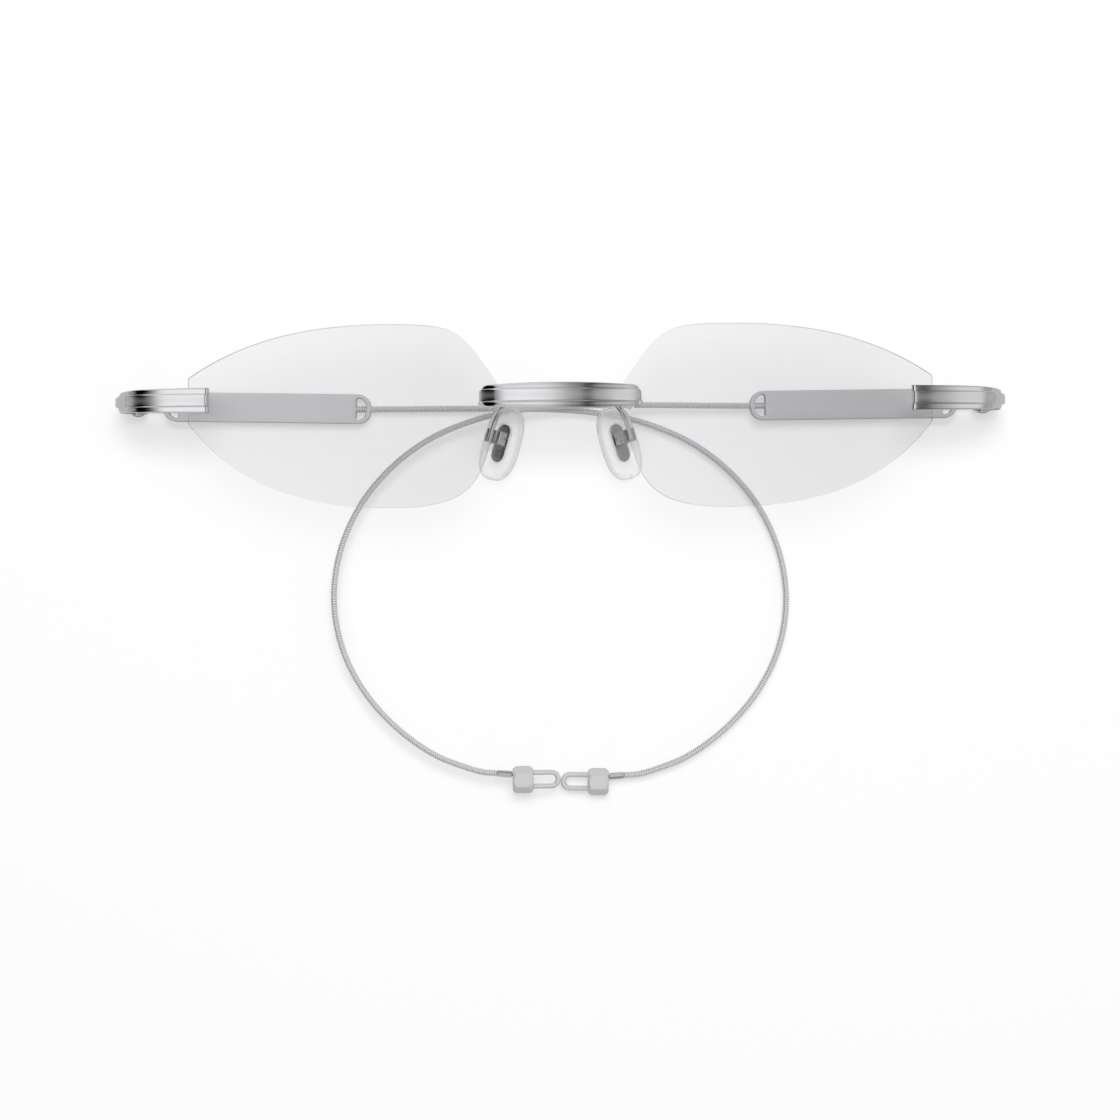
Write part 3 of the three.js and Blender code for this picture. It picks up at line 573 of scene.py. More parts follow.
def smooth_route(route, count, steps=40):
    """Points at even distances on a centripetal Catmull-Rom curve through a route.

    Each stretch between two points of the route is a cubic curve, worked out in steps.
    """
    route = np.asarray(route, float)
    whole = np.vstack([2 * route[0] - route[1], route, 2 * route[-1] - route[-2]])
    before, start, end, after = whole[:-3], whole[1:-2], whole[2:-1], whole[3:]

    def knot(a, b):
        return np.sqrt(np.linalg.norm(b - a, axis=1))[:, None]

    first, middle, last = knot(before, start), knot(start, end), knot(end, after)
    leave = (start - before) / first - (end - before) / (first + middle) + (end - start) / middle
    arrive = (end - start) / middle - (after - start) / (middle + last) + (after - end) / last
    leave, arrive = leave * middle, arrive * middle
    t = np.linspace(0, 1, steps)[None, :, None]
    start, end, leave, arrive = (part[:, None] for part in (start, end, leave, arrive))
    curve = (
        start
        + leave * t
        + (3 * (end - start) - 2 * leave - arrive) * t**2
        + (2 * (start - end) + leave + arrive) * t**3
    )
    return resampled(curve.reshape(-1, route.shape[1]), count)


def bezier(*points, steps=48):
    """A Bezier curve of three or four points, without its last point."""
    t = np.linspace(0, 1, steps, endpoint=False)[:, None]
    points = np.asarray(points, float)
    while len(points) > 1:
        points = [(1 - t) * near + t * far for near, far in zip(points[:-1], points[1:])]
    return points[0]


def direction(turn):
    """A unit direction in a plane."""
    return np.array([np.cos(turn), np.sin(turn)])


# Pieces in the scene


def show(name, shapes, finish, body, node):
    """Puts shapes into one mesh piece that rides on a body and stands for a packed node."""
    starts = np.cumsum([0, *(len(shape.points) for shape in shapes)])
    points = np.vstack([shape.points for shape in shapes]) + (MIDDLE_X, FIXING_Y, 0)
    triangles = np.vstack([shape.triangles + start for shape, start in zip(shapes, starts)])
    quads = np.vstack([shape.quads + start for shape, start in zip(shapes, starts)])
    mesh = bpy.data.meshes.new(name)
    mesh.vertices.add(len(points))
    mesh.vertices.foreach_set("co", points.ravel())
    corners = np.concatenate([triangles.ravel(), quads.ravel()])
    first = np.concatenate([np.arange(len(triangles)) * 3, triangles.size + np.arange(len(quads)) * 4])
    mesh.loops.add(len(corners))
    mesh.loops.foreach_set("vertex_index", corners.astype(np.int32))
    mesh.polygons.add(len(first))
    mesh.polygons.foreach_set("loop_start", first.astype(np.int32))
    mesh.polygons.foreach_set("use_smooth", np.ones(len(first), bool))
    mesh.update(calc_edges=True)
    mesh.validate()
    mesh.set_sharp_from_angle(angle=SHARP_ANGLE)
    lay = mesh.attributes.new("lay", "FLOAT_VECTOR", "POINT")
    lay.data.foreach_set("vector", np.vstack([shape.lay for shape in shapes]).ravel())
    mesh.materials.append(finish)
    piece = bpy.data.objects.new(name, mesh)
    bpy.context.scene.collection.objects.link(piece)
    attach(piece, body)
    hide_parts(node)
    return piece


def show_pair(node, shapes, finish, body):
    """Shows a right piece and its mirror image on the left. The body's name may hold a place for the side."""
    pieces = []
    for word, mirror in SIDES:
        mirrored = [moved(shape, np.diag([mirror, 1, 1])) for shape in shapes]
        piece = show(f"shown_{node}_{word}", mirrored, finish, body.format(word), f"{node}_{word}")
        pieces.append(piece)
    return pieces


# Materials


def add(tree, kind, inputs=None, **settings):
    """A node with its settings, and with its inputs set, or linked where a socket is given."""
    node = tree.nodes.new(kind)
    for name, value in settings.items():
        setattr(node, name, value)
    for name, value in (inputs or {}).items():
        if isinstance(value, bpy.types.NodeSocket):
            tree.links.new(value, node.inputs[name])
        else:
            node.inputs[name].default_value = value
    return node


def blank(name):
    """A new material with an empty node tree."""
    material = bpy.data.materials.new(name)
    material.use_nodes = True
    material.node_tree.nodes.clear()
    return material, material.node_tree


def finished(tree, shader):
    """Ends a material's tree with a shader."""
    add(tree, "ShaderNodeOutputMaterial", {"Surface": shader.outputs[0]})


def clear_to_light(tree, shader, tint, cover):
    """A shader that lamp, soft and reflected light pass straight through.

    The camera sees the shader at its cover, and for the rest looks straight through it too.
    """
    path = add(tree, "ShaderNodeLightPath")
    seen = add(
        tree,
        "ShaderNodeMath",
        {0: path.outputs["Is Camera Ray"], 1: path.outputs["Is Transmission Ray"]},
        operation="MAXIMUM",
    )
    covered = add(tree, "ShaderNodeMath", {0: seen.outputs[0], 1: cover}, operation="MULTIPLY")
    clear = add(tree, "ShaderNodeBsdfTransparent", {"Color": tint})
    return add(
        tree, "ShaderNodeMixShader", {"Fac": covered.outputs[0], 1: clear.outputs[0], 2: shader.outputs[0]}
    )


@cache
def polished_steel():
    """Mirror-polished silver-coloured steel. Polishing along the strip leaves faint lines that soften it."""
    material, tree = blank("mirror_polished_steel")
    line_length = 9 * MM
    line_width = 0.16 * MM  # drawn coarser than real polishing lines, so that they show
    lay = add(tree, "ShaderNodeAttribute", attribute_name="lay")
    stretch = (1 / line_length, 1 / line_width, 1 / line_width)
    mapped = add(tree, "ShaderNodeMapping", {"Vector": lay.outputs["Vector"], "Scale": stretch})
    lines = add(tree, "ShaderNodeTexNoise", {"Vector": mapped.outputs[0], "Scale": 1, "Detail": 3})
    rough = add(
        tree,
        "ShaderNodeMapRange",
        {"Value": lines.outputs[0], "From Min": 0.3, "From Max": 0.7, "To Min": 0.05, "To Max": 0.13},
    )
    bump = add(tree, "ShaderNodeBump", {"Height": lines.outputs[0], "Strength": 0.12, "Distance": 0.004 * MM})
    shader = add(
        tree,
        "ShaderNodeBsdfPrincipled",
        {
            "Base Color": (*bpy.context.scene.glasses_strip.colour, 1),
            "Metallic": 1,
            "Roughness": rough.outputs[0],
            "Normal": bump.outputs[0],
        },
    )
    finished(tree, shader)
    return material


@cache
def satin_steel():
    """Blasted silver-coloured steel: its fine even grain scatters the light and leaves a soft sheen."""
    material, tree = blank("blasted_steel")
    grain_size = 0.14 * MM  # drawn coarser than blasting grit, so that it shows
    cloud_size = 6 * MM
    cloud_share = 0.35
    place = add(tree, "ShaderNodeTexCoord")
    grain = add(
        tree, "ShaderNodeTexNoise", {"Vector": place.outputs["Object"], "Scale": 1 / grain_size, "Detail": 2}
    )
    cloud = add(
        tree, "ShaderNodeTexNoise", {"Vector": place.outputs["Object"], "Scale": 1 / cloud_size, "Detail": 1}
    )
    mixed = add(
        tree,
        "ShaderNodeMath",
        {0: cloud.outputs[0], 1: cloud_share, 2: grain.outputs[0]},
        operation="MULTIPLY_ADD",
    )
    rough = add(
        tree,
        "ShaderNodeMapRange",
        {"Value": mixed.outputs[0], "From Min": 0.4, "From Max": 0.95, "To Min": 0.33, "To Max": 0.47},
    )
    bump = add(tree, "ShaderNodeBump", {"Height": grain.outputs[0], "Strength": 0.25, "Distance": 0.01 * MM})
    shader = add(
        tree,
        "ShaderNodeBsdfPrincipled",
        {
            "Base Color": (*bpy.context.scene.glasses_temple.satin, 1),
            "Metallic": 0.55,
            "Roughness": rough.outputs[0],
            "Normal": bump.outputs[0],
        },
    )
    finished(tree, shader)
    return material


@cache
def pad_metal_painted_shade():
    """Tumbled steel of the small pad mounts, with a fine uneven shine. Its grey, darker than the other metal,
    is painted shade for the shade that the mounts sit in.
    """
    material, tree = blank("tumbled_steel_painted_shade")
    dent_size = 0.3 * MM  # drawn coarser than tumbling marks, so that they show
    place = add(tree, "ShaderNodeTexCoord")
    dents = add(
        tree, "ShaderNodeTexNoise", {"Vector": place.outputs["Object"], "Scale": 1 / dent_size, "Detail": 2}
    )
    rough = add(tree, "ShaderNodeMapRange", {"Value": dents.outputs[0], "To Min": 0.15, "To Max": 0.4})
    bump = add(tree, "ShaderNodeBump", {"Height": dents.outputs[0], "Strength": 0.15, "Distance": 0.01 * MM})
    shader = add(
        tree,
        "ShaderNodeBsdfPrincipled",
        {
            "Base Color": (*bpy.context.scene.glasses_pad.metal, 1),
            "Metallic": 1,
            "Roughness": rough.outputs[0],
            "Normal": bump.outputs[0],
        },
    )
    finished(tree, shader)
    return material


@cache
def wound_wire():
    """Fine steel wire wound tightly over a core: bright on the ridges, rougher in the grooves, and darker
    towards the grooves as painted shade.
    """
    material, tree = blank("wound_steel_wire_groove_shade")
    temple = bpy.context.scene.glasses_temple
    lay = add(tree, "ShaderNodeAttribute", attribute_name="lay")
    parts = add(tree, "ShaderNodeSeparateXYZ", {"Vector": lay.outputs["Vector"]})
    tone = add(tree, "ShaderNodeValToRGB", {"Fac": parts.outputs["Z"]})
    low, high = tone.color_ramp.elements
    # Painted shade: the ramp darkens the wire towards the bottom of each groove of the winding
    low.position = 0.05
    low.color = (*temple.groove, 1)
    high.position = 0.7
    high.color = (*temple.ridge, 1)
    rough = add(tree, "ShaderNodeMapRange", {"Value": parts.outputs["Z"], "To Min": 0.5, "To Max": 0.2})
    shader = add(
        tree,
        "ShaderNodeBsdfPrincipled",
        {"Base Color": tone.outputs[0], "Metallic": 0.6, "Roughness": rough.outputs[0]},
    )
    finished(tree, shader)
    return material


@cache
def clear_lens():
    """Clear cast lens plastic, polished on both faces, with slow and shallow waves left by the casting."""
    material, tree = blank("cast_lens_plastic")
    wave_size = 14 * MM
    place = add(tree, "ShaderNodeTexCoord")
    wave = add(
        tree, "ShaderNodeTexNoise", {"Vector": place.outputs["Object"], "Scale": 1 / wave_size, "Detail": 0}
    )
    bump = add(tree, "ShaderNodeBump", {"Height": wave.outputs[0], "Strength": 0.2, "Distance": 0.02 * MM})
    tint = (*bpy.context.scene.glasses_lens.tint, 1)
    shader = add(
        tree,
        "ShaderNodeBsdfPrincipled",
        {
            "Base Color": tint,
            "Roughness": 0,
            "IOR": 1.5,
            "Transmission Weight": 1,
            "Normal": bump.outputs[0],
        },
    )
    finished(tree, clear_to_light(tree, shader, tint, cover=1))
    return material


@cache
def clear_silicone():
    """Clear moulded silicone: milky and soft-looking, with the fine matt of its mould."""
    material, tree = blank("moulded_silicone")
    matt_size = 0.25 * MM  # drawn coarser than the mould's matt, so that it shows
    place = add(tree, "ShaderNodeTexCoord")
    matt = add(
        tree, "ShaderNodeTexNoise", {"Vector": place.outputs["Object"], "Scale": 1 / matt_size, "Detail": 2}
    )
    rough = add(tree, "ShaderNodeMapRange", {"Value": matt.outputs[0], "To Min": 0.06, "To Max": 0.18})
    bump = add(tree, "ShaderNodeBump", {"Height": matt.outputs[0], "Strength": 0.1, "Distance": 0.01 * MM})
    silicone = (*bpy.context.scene.glasses_pad.silicone, 1)
    shader = add(
        tree,
        "ShaderNodeBsdfPrincipled",
        {
            "Base Color": silicone,
            "Roughness": rough.outputs[0],
            "IOR": 1.41,
            "Transmission Weight": 0.6,
            "Normal": bump.outputs[0],
        },
    )
    finished(tree, clear_to_light(tree, shader, silicone, cover=0.55))
    return material


@cache
def clear_nylon():
    """Clear turned nylon, with faint turning marks."""
    material, tree = blank("turned_nylon")
    mark_size = 0.2 * MM  # drawn coarser than turning marks, so that they show
    place = add(tree, "ShaderNodeTexCoord")
    marks = add(
        tree, "ShaderNodeTexNoise", {"Vector": place.outputs["Object"], "Scale": 1 / mark_size, "Detail": 1}
    )
    rough = add(tree, "ShaderNodeMapRange", {"Value": marks.outputs[0], "To Min": 0.15, "To Max": 0.3})
    shader = add(
        tree,
        "ShaderNodeBsdfPrincipled",
        {
            "Base Color": (*linear("EEEEEE"), 1),
            "Roughness": rough.outputs[0],
            "IOR": 1.53,
            "Transmission Weight": 0.7,
        },
    )
    finished(tree, shader)
    return material


# Lenses


def lens_middle(lens):
    """Plan middle of the right lens."""
    return np.array([lens.gap / 2 + lens.width / 2, (lens.crown - lens.keel) / 2])


def lens_surface(lens, behind):
    """Height function of a sphere about the lens middle, for the front face or one that lies behind it."""
    middle = lens_middle(lens)
    radius = lens.front_radius - behind

    def height(x, y):
        away = np.hypot(x - middle[0], y - middle[1])
        return LENS_TOP_Z - lens.front_radius + np.sqrt(radius**2 - away**2)

    return height


def bridge_hole(lens, strip):
    """Plan place of the hole at the inner point."""
    return np.array([lens.gap / 2 + lens.hole_inset, strip.bridge_rise])


def endpiece_hole(lens):
    """Plan place of the hole at the outer tip."""
    return np.array([lens.gap / 2 + lens.width - lens.hole_inset, 0])


def lens_outline(lens):
    """Outline of the right lens: cubic curves from tip to crown, flank, keel and back, and a rounded point.

    The tip's corners are eased by a running mean over a few even steps of the outline.
    """
    inner, outer = lens.gap / 2, lens.gap / 2 + lens.width
    point_out, point_rise = 0.69 * MM, 1.08 * MM
    up, down = direction(55.5 * DEGREE), direction(-73.3 * DEGREE)
    from_top, from_bottom = direction((180 - 34.2) * DEGREE), direction((180 + 53.2) * DEGREE)
    upper_flank, lower_flank = 5 * MM, 11 * MM
    tip_top_pull, crown_pull, keel_pull, tip_bottom_pull = 0.326, 0.415, 0.43, 0.392
    shoulder_pull, upper_flank_pull, lower_flank_pull = 0.63, 1.12, 0.78
    point_start, point_end = 0.6, 0.36
    sharp = np.array([inner - point_out, point_rise])
    crown = np.array([inner + lens.shoulder, lens.crown])
    keel = np.array([inner + lens.shoulder, -lens.keel])
    tip_top = np.array([outer, lens.tip / 2])
    tip_bottom = np.array([outer, -lens.tip / 2])
    span = outer - crown[0]
    inner_top = sharp + upper_flank * up
    inner_bottom = sharp + lower_flank * down
    level_x = np.array([1, 0])
    line = np.vstack(
        [
            bezier(tip_bottom, (tip_bottom + tip_top) / 2, tip_top, steps=24),
            bezier(
                tip_top,
                tip_top + tip_top_pull * span * from_top,
                crown + crown_pull * span * level_x,
                crown,
            ),
            bezier(
                crown,
                crown - shoulder_pull * (crown[0] - inner_top[0]) * level_x,
                inner_top + upper_flank_pull * (crown[1] - inner_top[1]) * up,
                inner_top,
            ),
            bezier(
                sharp + point_start * upper_flank * up,
                sharp,
                sharp + point_end * lower_flank * down,
            ),
            bezier(
                inner_bottom,
                inner_bottom + lower_flank_pull * (inner_bottom[1] - keel[1]) * down,
                keel - shoulder_pull * (keel[0] - inner_bottom[0]) * level_x,
                keel,
            ),
            bezier(
                keel,
                keel + keel_pull * span * level_x,
                tip_bottom + tip_bottom_pull * span * from_bottom,
                tip_bottom,
            ),
        ]
    )
    even = resampled(line, count=480, closed=True)
    spacing = np.linalg.norm(even[1] - even[0])
    reach = max(int(round(lens.corner_round / spacing)), 1)
    return np.mean([np.roll(even, shift, axis=0) for shift in range(-reach, reach + 1)], axis=0)


class GLASSES_OT_lenses(bpy.types.Operator):
    """Two clear lenses: curved plates with polished edges and two drilled holes each"""

    bl_idname = "glasses.lenses"
    bl_label = "Lenses"

    def execute(self, context):
        lens, strip = context.scene.glasses_lens, context.scene.glasses_strip
        drilled = SCREW_RADIUS + 2 * BORE_GAP + BUSH_WALL
        loops = [lens_outline(lens)]
        for place in (bridge_hole(lens, strip), endpiece_hole(lens)):
            loops.append(circle(drilled, place, sides=40, hole=True))
        front, back = lens_surface(lens, 0), lens_surface(lens, lens.thickness)
        shape = plate(loops, back, front, lens.edge_bevel, spacing=1.1 * MM, steps=1)
        show_pair("lens", [shape], clear_lens(), "front")
        return {"FINISHED"}


# Bridge and endpieces


def strip_section(strip, height):
    """Stepped section as (across, proud) points, evenly spaced, with eased corners.

    The steps fall towards their edges, and the band bulges by band_crown * (1 - (across / half band) ** 2).
    """
    edge, band = height / 2, strip.band / 2
    thick = strip.base + strip.proud
    step_edge = strip.base - strip.step_fall
    corners = [
        (-edge, 0),
        (edge, 0),
        (edge, step_edge),
        (band, strip.base),
        (band, thick),
        (-band, thick),
        (-band, strip.base),
        (-edge, step_edge),
    ]
    back, step, groove, ridge = 0.14 * MM, 0.28 * MM, 0.1 * MM, 0.2 * MM
    eased_by = [back, back, step, groove, ridge, ridge, groove, step]
    section = resampled(eased(corners, eased_by, steps=6), count=150, closed=True)
    across, proud = section.T
    on_band = (np.abs(across) < band) & (proud > strip.base + strip.proud / 2)
    bulge = strip.band_crown * (1 - (across / band) ** 2)
    return np.column_stack([across, proud + np.where(on_band, bulge, 0)])


def bent_strip(strip, line, heights, ease, fullness, tilt):
    """A stepped strip along a plan line in X and Z, with its proud side on the line's left.

    Each point of the section moves out by what it stands proud, along the line's normal, or at the tilt where
    the line is steeper. With s the sine of the line's slope, the band's height shrinks by
    band_draw * s ** fullness, which rounds its corners where the strip turns back. The two steps fill what is
    left of the strip's height. Towards its first ring the strip gets thinner, on a quarter circle, which
    rounds the front edge of that end.
    """
    section = strip_section(strip, heights[0])
    ahead = unit(np.gradient(line, axis=0))
    slope = np.clip(np.arctan2(ahead[:, 1], ahead[:, 0]), -tilt, tilt)
    out = np.column_stack([-np.sin(slope), np.cos(slope)])
    bands = strip.band - strip.band_draw * np.abs(ahead[:, 1]) ** fullness
    on_band = np.minimum(np.abs(section[:, 0]), strip.band / 2)
    on_step = np.abs(section[:, 0]) - on_band
    steps = (heights - bands) / (heights[0] - strip.band)
    reach = on_band * bands[:, None] / strip.band + on_step * steps[:, None]
    across = np.sign(section[:, 0]) * reach
    along = distances(line)
    away = np.clip(1 - along / ease, 0, 1)[:, None]
    thick = strip.base + strip.proud
    thinner = 1 - (1 - np.sqrt(1 - away**2)) * ease / thick
    proud = section[:, 1] * thinner
    rows = np.stack([line[:, :1] + out[:, :1] * proud, across, line[:, 1:] + out[:, 1:] * proud], axis=2)
    lay = np.stack([np.broadcast_to(along[:, None], across.shape), across, proud], axis=2)
    centre = thinner * thick / 2 * out + line
    ends = [(centre[i, 0], 0, centre[i, 1]) for i in (0, -1)]
    return grid(rows, first=ends[0], last=ends[1], lay=lay.reshape(-1, 3))


def end_steps(length_of_run, count=6):
    """Distances of the rings that round a cut end, close together at the end."""
    return length_of_run * (1 - np.cos(np.linspace(0, QUARTER, count)))


def bridge_bends(lens, strip):
    """X of the bridge's cut right end, and the (x, z) middles of its bend, its shoulder and its long arc."""
    across, up = np.sin(strip.bridge_tilt), np.cos(strip.bridge_tilt)
    leg_x = lens.gap / 2 + strip.bridge_overlap - (strip.base + strip.proud) * across
    bend = np.array([leg_x - strip.bridge_bend, BRIDGE_SEAT + strip.bridge_leg])
    shoulder = bend - (strip.bridge_shoulder - strip.bridge_bend) * np.array([across, up])
    inner = strip.bridge_arc - strip.bridge_shoulder
    return leg_x, bend, shoulder, np.array([0, shoulder[1] - np.sqrt(inner**2 - shoulder[0] ** 2)])


class GLASSES_OT_bridge(bpy.types.Operator):
    """Bridge: one stepped strip on a shallow arc, turned back to the lenses, with a post over each screw"""

    bl_idname = "glasses.bridge"
    bl_label = "Bridge"

    def execute(self, context):
        lens, strip = context.scene.glasses_lens, context.scene.glasses_strip
        thick = strip.base + strip.proud
        leg_x, bend, shoulder, middle = bridge_bends(lens, strip)
        tilt = strip.bridge_tilt
        slope = np.arcsin(shoulder[0] / (strip.bridge_arc - strip.bridge_shoulder))
        leg = BRIDGE_SEAT + end_steps(strip.bridge_leg)
        half = np.vstack(
            [
                np.column_stack([np.full(len(leg), leg_x), leg]),
                arc(bend, strip.bridge_bend, 0, QUARTER - tilt, count=26)[1:],
                arc(shoulder, strip.bridge_shoulder, QUARTER - tilt, QUARTER - slope, count=20)[1:],
                arc(middle, strip.bridge_arc, QUARTER - slope, QUARTER, count=40)[1:],
            ]
        )
        line = np.vstack([half * (-1, 1), half[-2::-1]])
        share = np.minimum((line[:, 0] / leg_x) ** 2, 1)
        fall = np.clip((np.abs(line[:, 0]) - bend[0]) / strip.bridge_bend, 0, 1)
        heights = (
            strip.bridge_middle
            + (strip.bridge_end - strip.bridge_middle) * share
            + (strip.bridge_foot - strip.bridge_end) * (1 - np.sqrt(1 - fall**2))
        )
        ease = 0.1 * MM
        made = bent_strip(strip, line, heights, ease, fullness=6, tilt=tilt)
        bent = moved(made, place=(0, strip.bridge_rise, 0))
        hole = bridge_hole(lens, strip)
        top = BRIDGE_SEAT + thick
        post = turned(
            [
                (0, BRIDGE_SEAT),
                (POST_RADIUS - ease, BRIDGE_SEAT),
                (POST_RADIUS, BRIDGE_SEAT + ease),
                (POST_RADIUS, top),
                (0, top),
            ]
        )
        posts = [moved(post, place=(mirror * hole[0], hole[1], 0)) for _, mirror in SIDES]
        show("shown_bridge", [bent, *posts], polished_steel(), "front", "bridge")
        return {"FINISHED"}


AXIS_Y_UP = np.array([[1, 0, 0], [0, 0, 1], [0, 1, 0]])  # plate plane to X and Z, plate height to Y
AXIS_X_UP = np.array([[0, 0, 1], [1, 0, 0], [0, 1, 0]])  # plate plane to Y and Z, plate height to X
AXIS_BACK_ALONG_X = np.array([[0, 0, -1], [0, 1, 0], [1, 0, 0]])  # lathe axis towards -X


def knuckle_outline(strip):
    """Section of a hinge knuckle from its axis: a disc that runs out and up into the strip's leg."""
    leg_outer = KNUCKLE_RADIUS + LEG_PROUD
    leg_inner = leg_outer - strip.base - strip.proud
    top = KNUCKLE_RADIUS + 2 * SLIDE_GAP
    foot = KNUCKLE_RADIUS / 2
    foot_ease, top_ease = 0.4 * MM, 0.2 * MM
    meet = np.arccos(leg_inner / KNUCKLE_RADIUS)
    disc = arc((0, 0), KNUCKLE_RADIUS, meet, 2 * np.pi, count=60)
    corners = np.vstack([disc, [(leg_outer, foot), (leg_outer, top), (leg_inner, top)]])
    eases = np.concatenate([np.zeros(len(disc)), [foot_ease, top_ease, top_ease]])
    return resampled(eased(corners, eases), count=140, closed=True)


class GLASSES_OT_endpieces(bpy.types.Operator):
    """Endpieces: stepped strips from the lens tips, bent back to two hinge knuckles each"""

    bl_idname = "glasses.endpieces"
    bl_label = "Endpieces"

    def execute(self, context):
        strip = context.scene.glasses_strip
        thick = strip.base + strip.proud
        seat = ENDPIECE_TOP_Z - thick
        leg_x = HINGE_X + KNUCKLE_RADIUS + LEG_PROUD - thick
        bend_x = leg_x - strip.endpiece_bend
        arc_z = seat - strip.endpiece_arc
        inner = strip.endpiece_arc - strip.endpiece_bend
        slope = np.arcsin((bend_x - ENDPIECE_INNER_X) / inner)
        bend_z = arc_z + inner * np.cos(slope)
        ease = strip.endpiece_ease
        onward = np.linspace(ease, slope * strip.endpiece_arc, num=30)
        run = np.concatenate([end_steps(ease, count=14), onward[1:]])
        over_lens = QUARTER - run / strip.endpiece_arc
        leg_end = HINGE_Z + KNUCKLE_RADIUS + SLIDE_GAP
        leg = np.linspace(bend_z, leg_end, num=14)
        line = np.vstack(
            [
                on_circle((ENDPIECE_INNER_X, arc_z), strip.endpiece_arc, over_lens),
                arc((bend_x, bend_z), strip.endpiece_bend, QUARTER - slope, 0, count=40)[1:],
                np.column_stack([np.full(len(leg), leg_x), leg])[1:],
            ]
        )
        share = (line[:, 0] - ENDPIECE_INNER_X) / (leg_x - ENDPIECE_INNER_X)
        fall = (seat - np.minimum(line[:, 1], seat)) / (seat - leg_end)
        late_fall = 1.3
        heights = (
            strip.endpiece_height
            + (strip.endpiece_leg - strip.endpiece_height) * share
            + (strip.endpiece_foot - strip.endpiece_leg) * fall**late_fall
        )
        bent = bent_strip(strip, line, heights, ease, fullness=12, tilt=QUARTER)
        loops = [knuckle_outline(strip), circle(PIN_RADIUS + BORE_GAP, hole=True)]
        inner_face, outer_face = EYE_HEIGHT / 2 + SLIDE_GAP, KNUCKLE_HEIGHT / 2
        upper = plate(loops, level(inner_face), level(outer_face), KNUCKLE_BEVEL, KNUCKLE_NET)
        lower = moved(upper, np.diag([1, 1, -1]))
        knuckles = [moved(half, AXIS_Y_UP, (HINGE_X, 0, HINGE_Z)) for half in (upper, lower)]
        show_pair("endpiece", [bent, *knuckles], polished_steel(), "front")
        return {"FINISHED"}


# Screws and bushes


def screw(head_radius, head_height, shank_radius, shank_length, slot_width):
    """A screw along Z: a domed head above 0, with a driver slot, and a plain shank below.

    The dome is an ellipse. Its rings widen from the edge of the slot, a stadium, to the round rim. The slot
    is as deep as half the head, and leaves an eighth of the head's width at each end.
    """
    sides, dome_rings = 96, 14
    turn = full_turn(sides)
    slot_length = 1.5 * head_radius
    slot = stadium_reach(turn - QUARTER, slot_length, slot_width)
    slot_floor = head_height / 2

    def dome(radius):
        return head_height * np.sqrt(np.maximum(1 - (radius / head_radius) ** 2, 0))

    rings = [(slot / 2, slot_floor), (slot, slot_floor)]
    for share in np.sin(np.linspace(0, QUARTER, dome_rings)):
        radius = slot + (head_radius - slot) * share
        rings.append((radius, dome(radius)))
    rings += [(shank_radius, 0), (shank_radius, -shank_length)]
    rows = [
        np.column_stack([radius * np.cos(turn), radius * np.sin(turn), np.broadcast_to(height, sides)])
        for radius, height in rings
    ]
    return grid(np.array(rows), first=(0, 0, slot_floor), last=(0, 0, -shank_length))


TURN_HEAD_BACK = np.diag([1, -1, -1])  # head towards -Z
TURN_HEAD_DOWN = np.array([[1, 0, 0], [0, 0, -1], [0, 1, 0]])  # head towards -Y
TURN_HEAD_ACROSS = np.array([[0, 0, 1], [0, 1, 0], [-1, 0, 0]])  # head towards +X


def flange_top(lens, hole):
    """Height of a bush's flange, just behind the curved back of the lens."""
    outer = hole[0] + np.sign(hole[0] - lens_middle(lens)[0]) * BUSH_FLANGE_RADIUS
    return lens_surface(lens, lens.thickness)(outer, hole[1]) - BORE_GAP


class GLASSES_OT_lens_fixings(bpy.types.Operator):
    """Bushes in the lens holes, and slotted screws through them from behind"""

    bl_idname = "glasses.lens_fixings"
    bl_label = "Lens fixings"

    def execute(self, context):
        lens, strip = context.scene.glasses_lens, context.scene.glasses_strip
        thick = strip.base + strip.proud
        grip = thick - SCREW_COVER - BORE_GAP
        head_radius, head_height, slot_width = 1.15 * MM, 0.6 * MM, 0.32 * MM
        bore = SCREW_RADIUS + BORE_GAP
        ease = 0.06 * MM
        fixings = (
            ("bridge", bridge_hole(lens, strip), BRIDGE_SEAT),
            ("endpiece", endpiece_hole(lens), ENDPIECE_TOP_Z - thick),
        )
        for word, hole, seat in fixings:
            top = flange_top(lens, hole)
            low = top - BUSH_FLANGE
            sleeve_top = lens_surface(lens, 0)(*hole) - BORE_GAP
            bush = turned(
                [
                    (bore, low),
                    (BUSH_FLANGE_RADIUS - ease, low),
                    (BUSH_FLANGE_RADIUS, low + ease),
                    (BUSH_FLANGE_RADIUS, top - ease),
                    (BUSH_FLANGE_RADIUS - ease, top),
                    (bore + BUSH_WALL, top),
                    (bore + BUSH_WALL, sleeve_top),
                    (bore, sleeve_top),
                ]
            )
            place = np.array([*hole, 0])
            show_pair(f"{word}_bush", [moved(bush, place=place)], clear_nylon(), "front")
            head_top = low - SOLDER_GAP
            shank = seat + grip - head_top
            made = screw(head_radius, head_height, SCREW_RADIUS, shank, slot_width)
            placed = moved(made, TURN_HEAD_BACK, place + (0, 0, head_top))
            show_pair(f"{word}_screw", [placed], polished_steel(), "front")
        return {"FINISHED"}


def temple_turn(word):
    """Turn of a folded temple about its hinge: its slope, and the right one's lean over the left one."""
    temple = bpy.context.scene.glasses_temple
    lean = np.arcsin((2 * temple.cable_radius + CROSSING_GAP) / HINGE_X) if word == "right" else 0
    return turn_y(lean) @ turn_z(TEMPLE_SLOPES[word])


def show_temple_pieces(node, shapes, finish):
    """Shows a temple piece on both sides. Its shapes lie along -X from a hinge at the origin, folded flat."""
    for word, mirror in SIDES:
        flip = np.diag([mirror, 1, 1])
        place = (mirror * HINGE_X, 0, HINGE_Z)
        placed = [moved(shape, flip @ temple_turn(word), place) for shape in shapes]
        show(f"shown_{node}_{word}", placed, finish, f"{word}_temple", f"{node}_{word}")


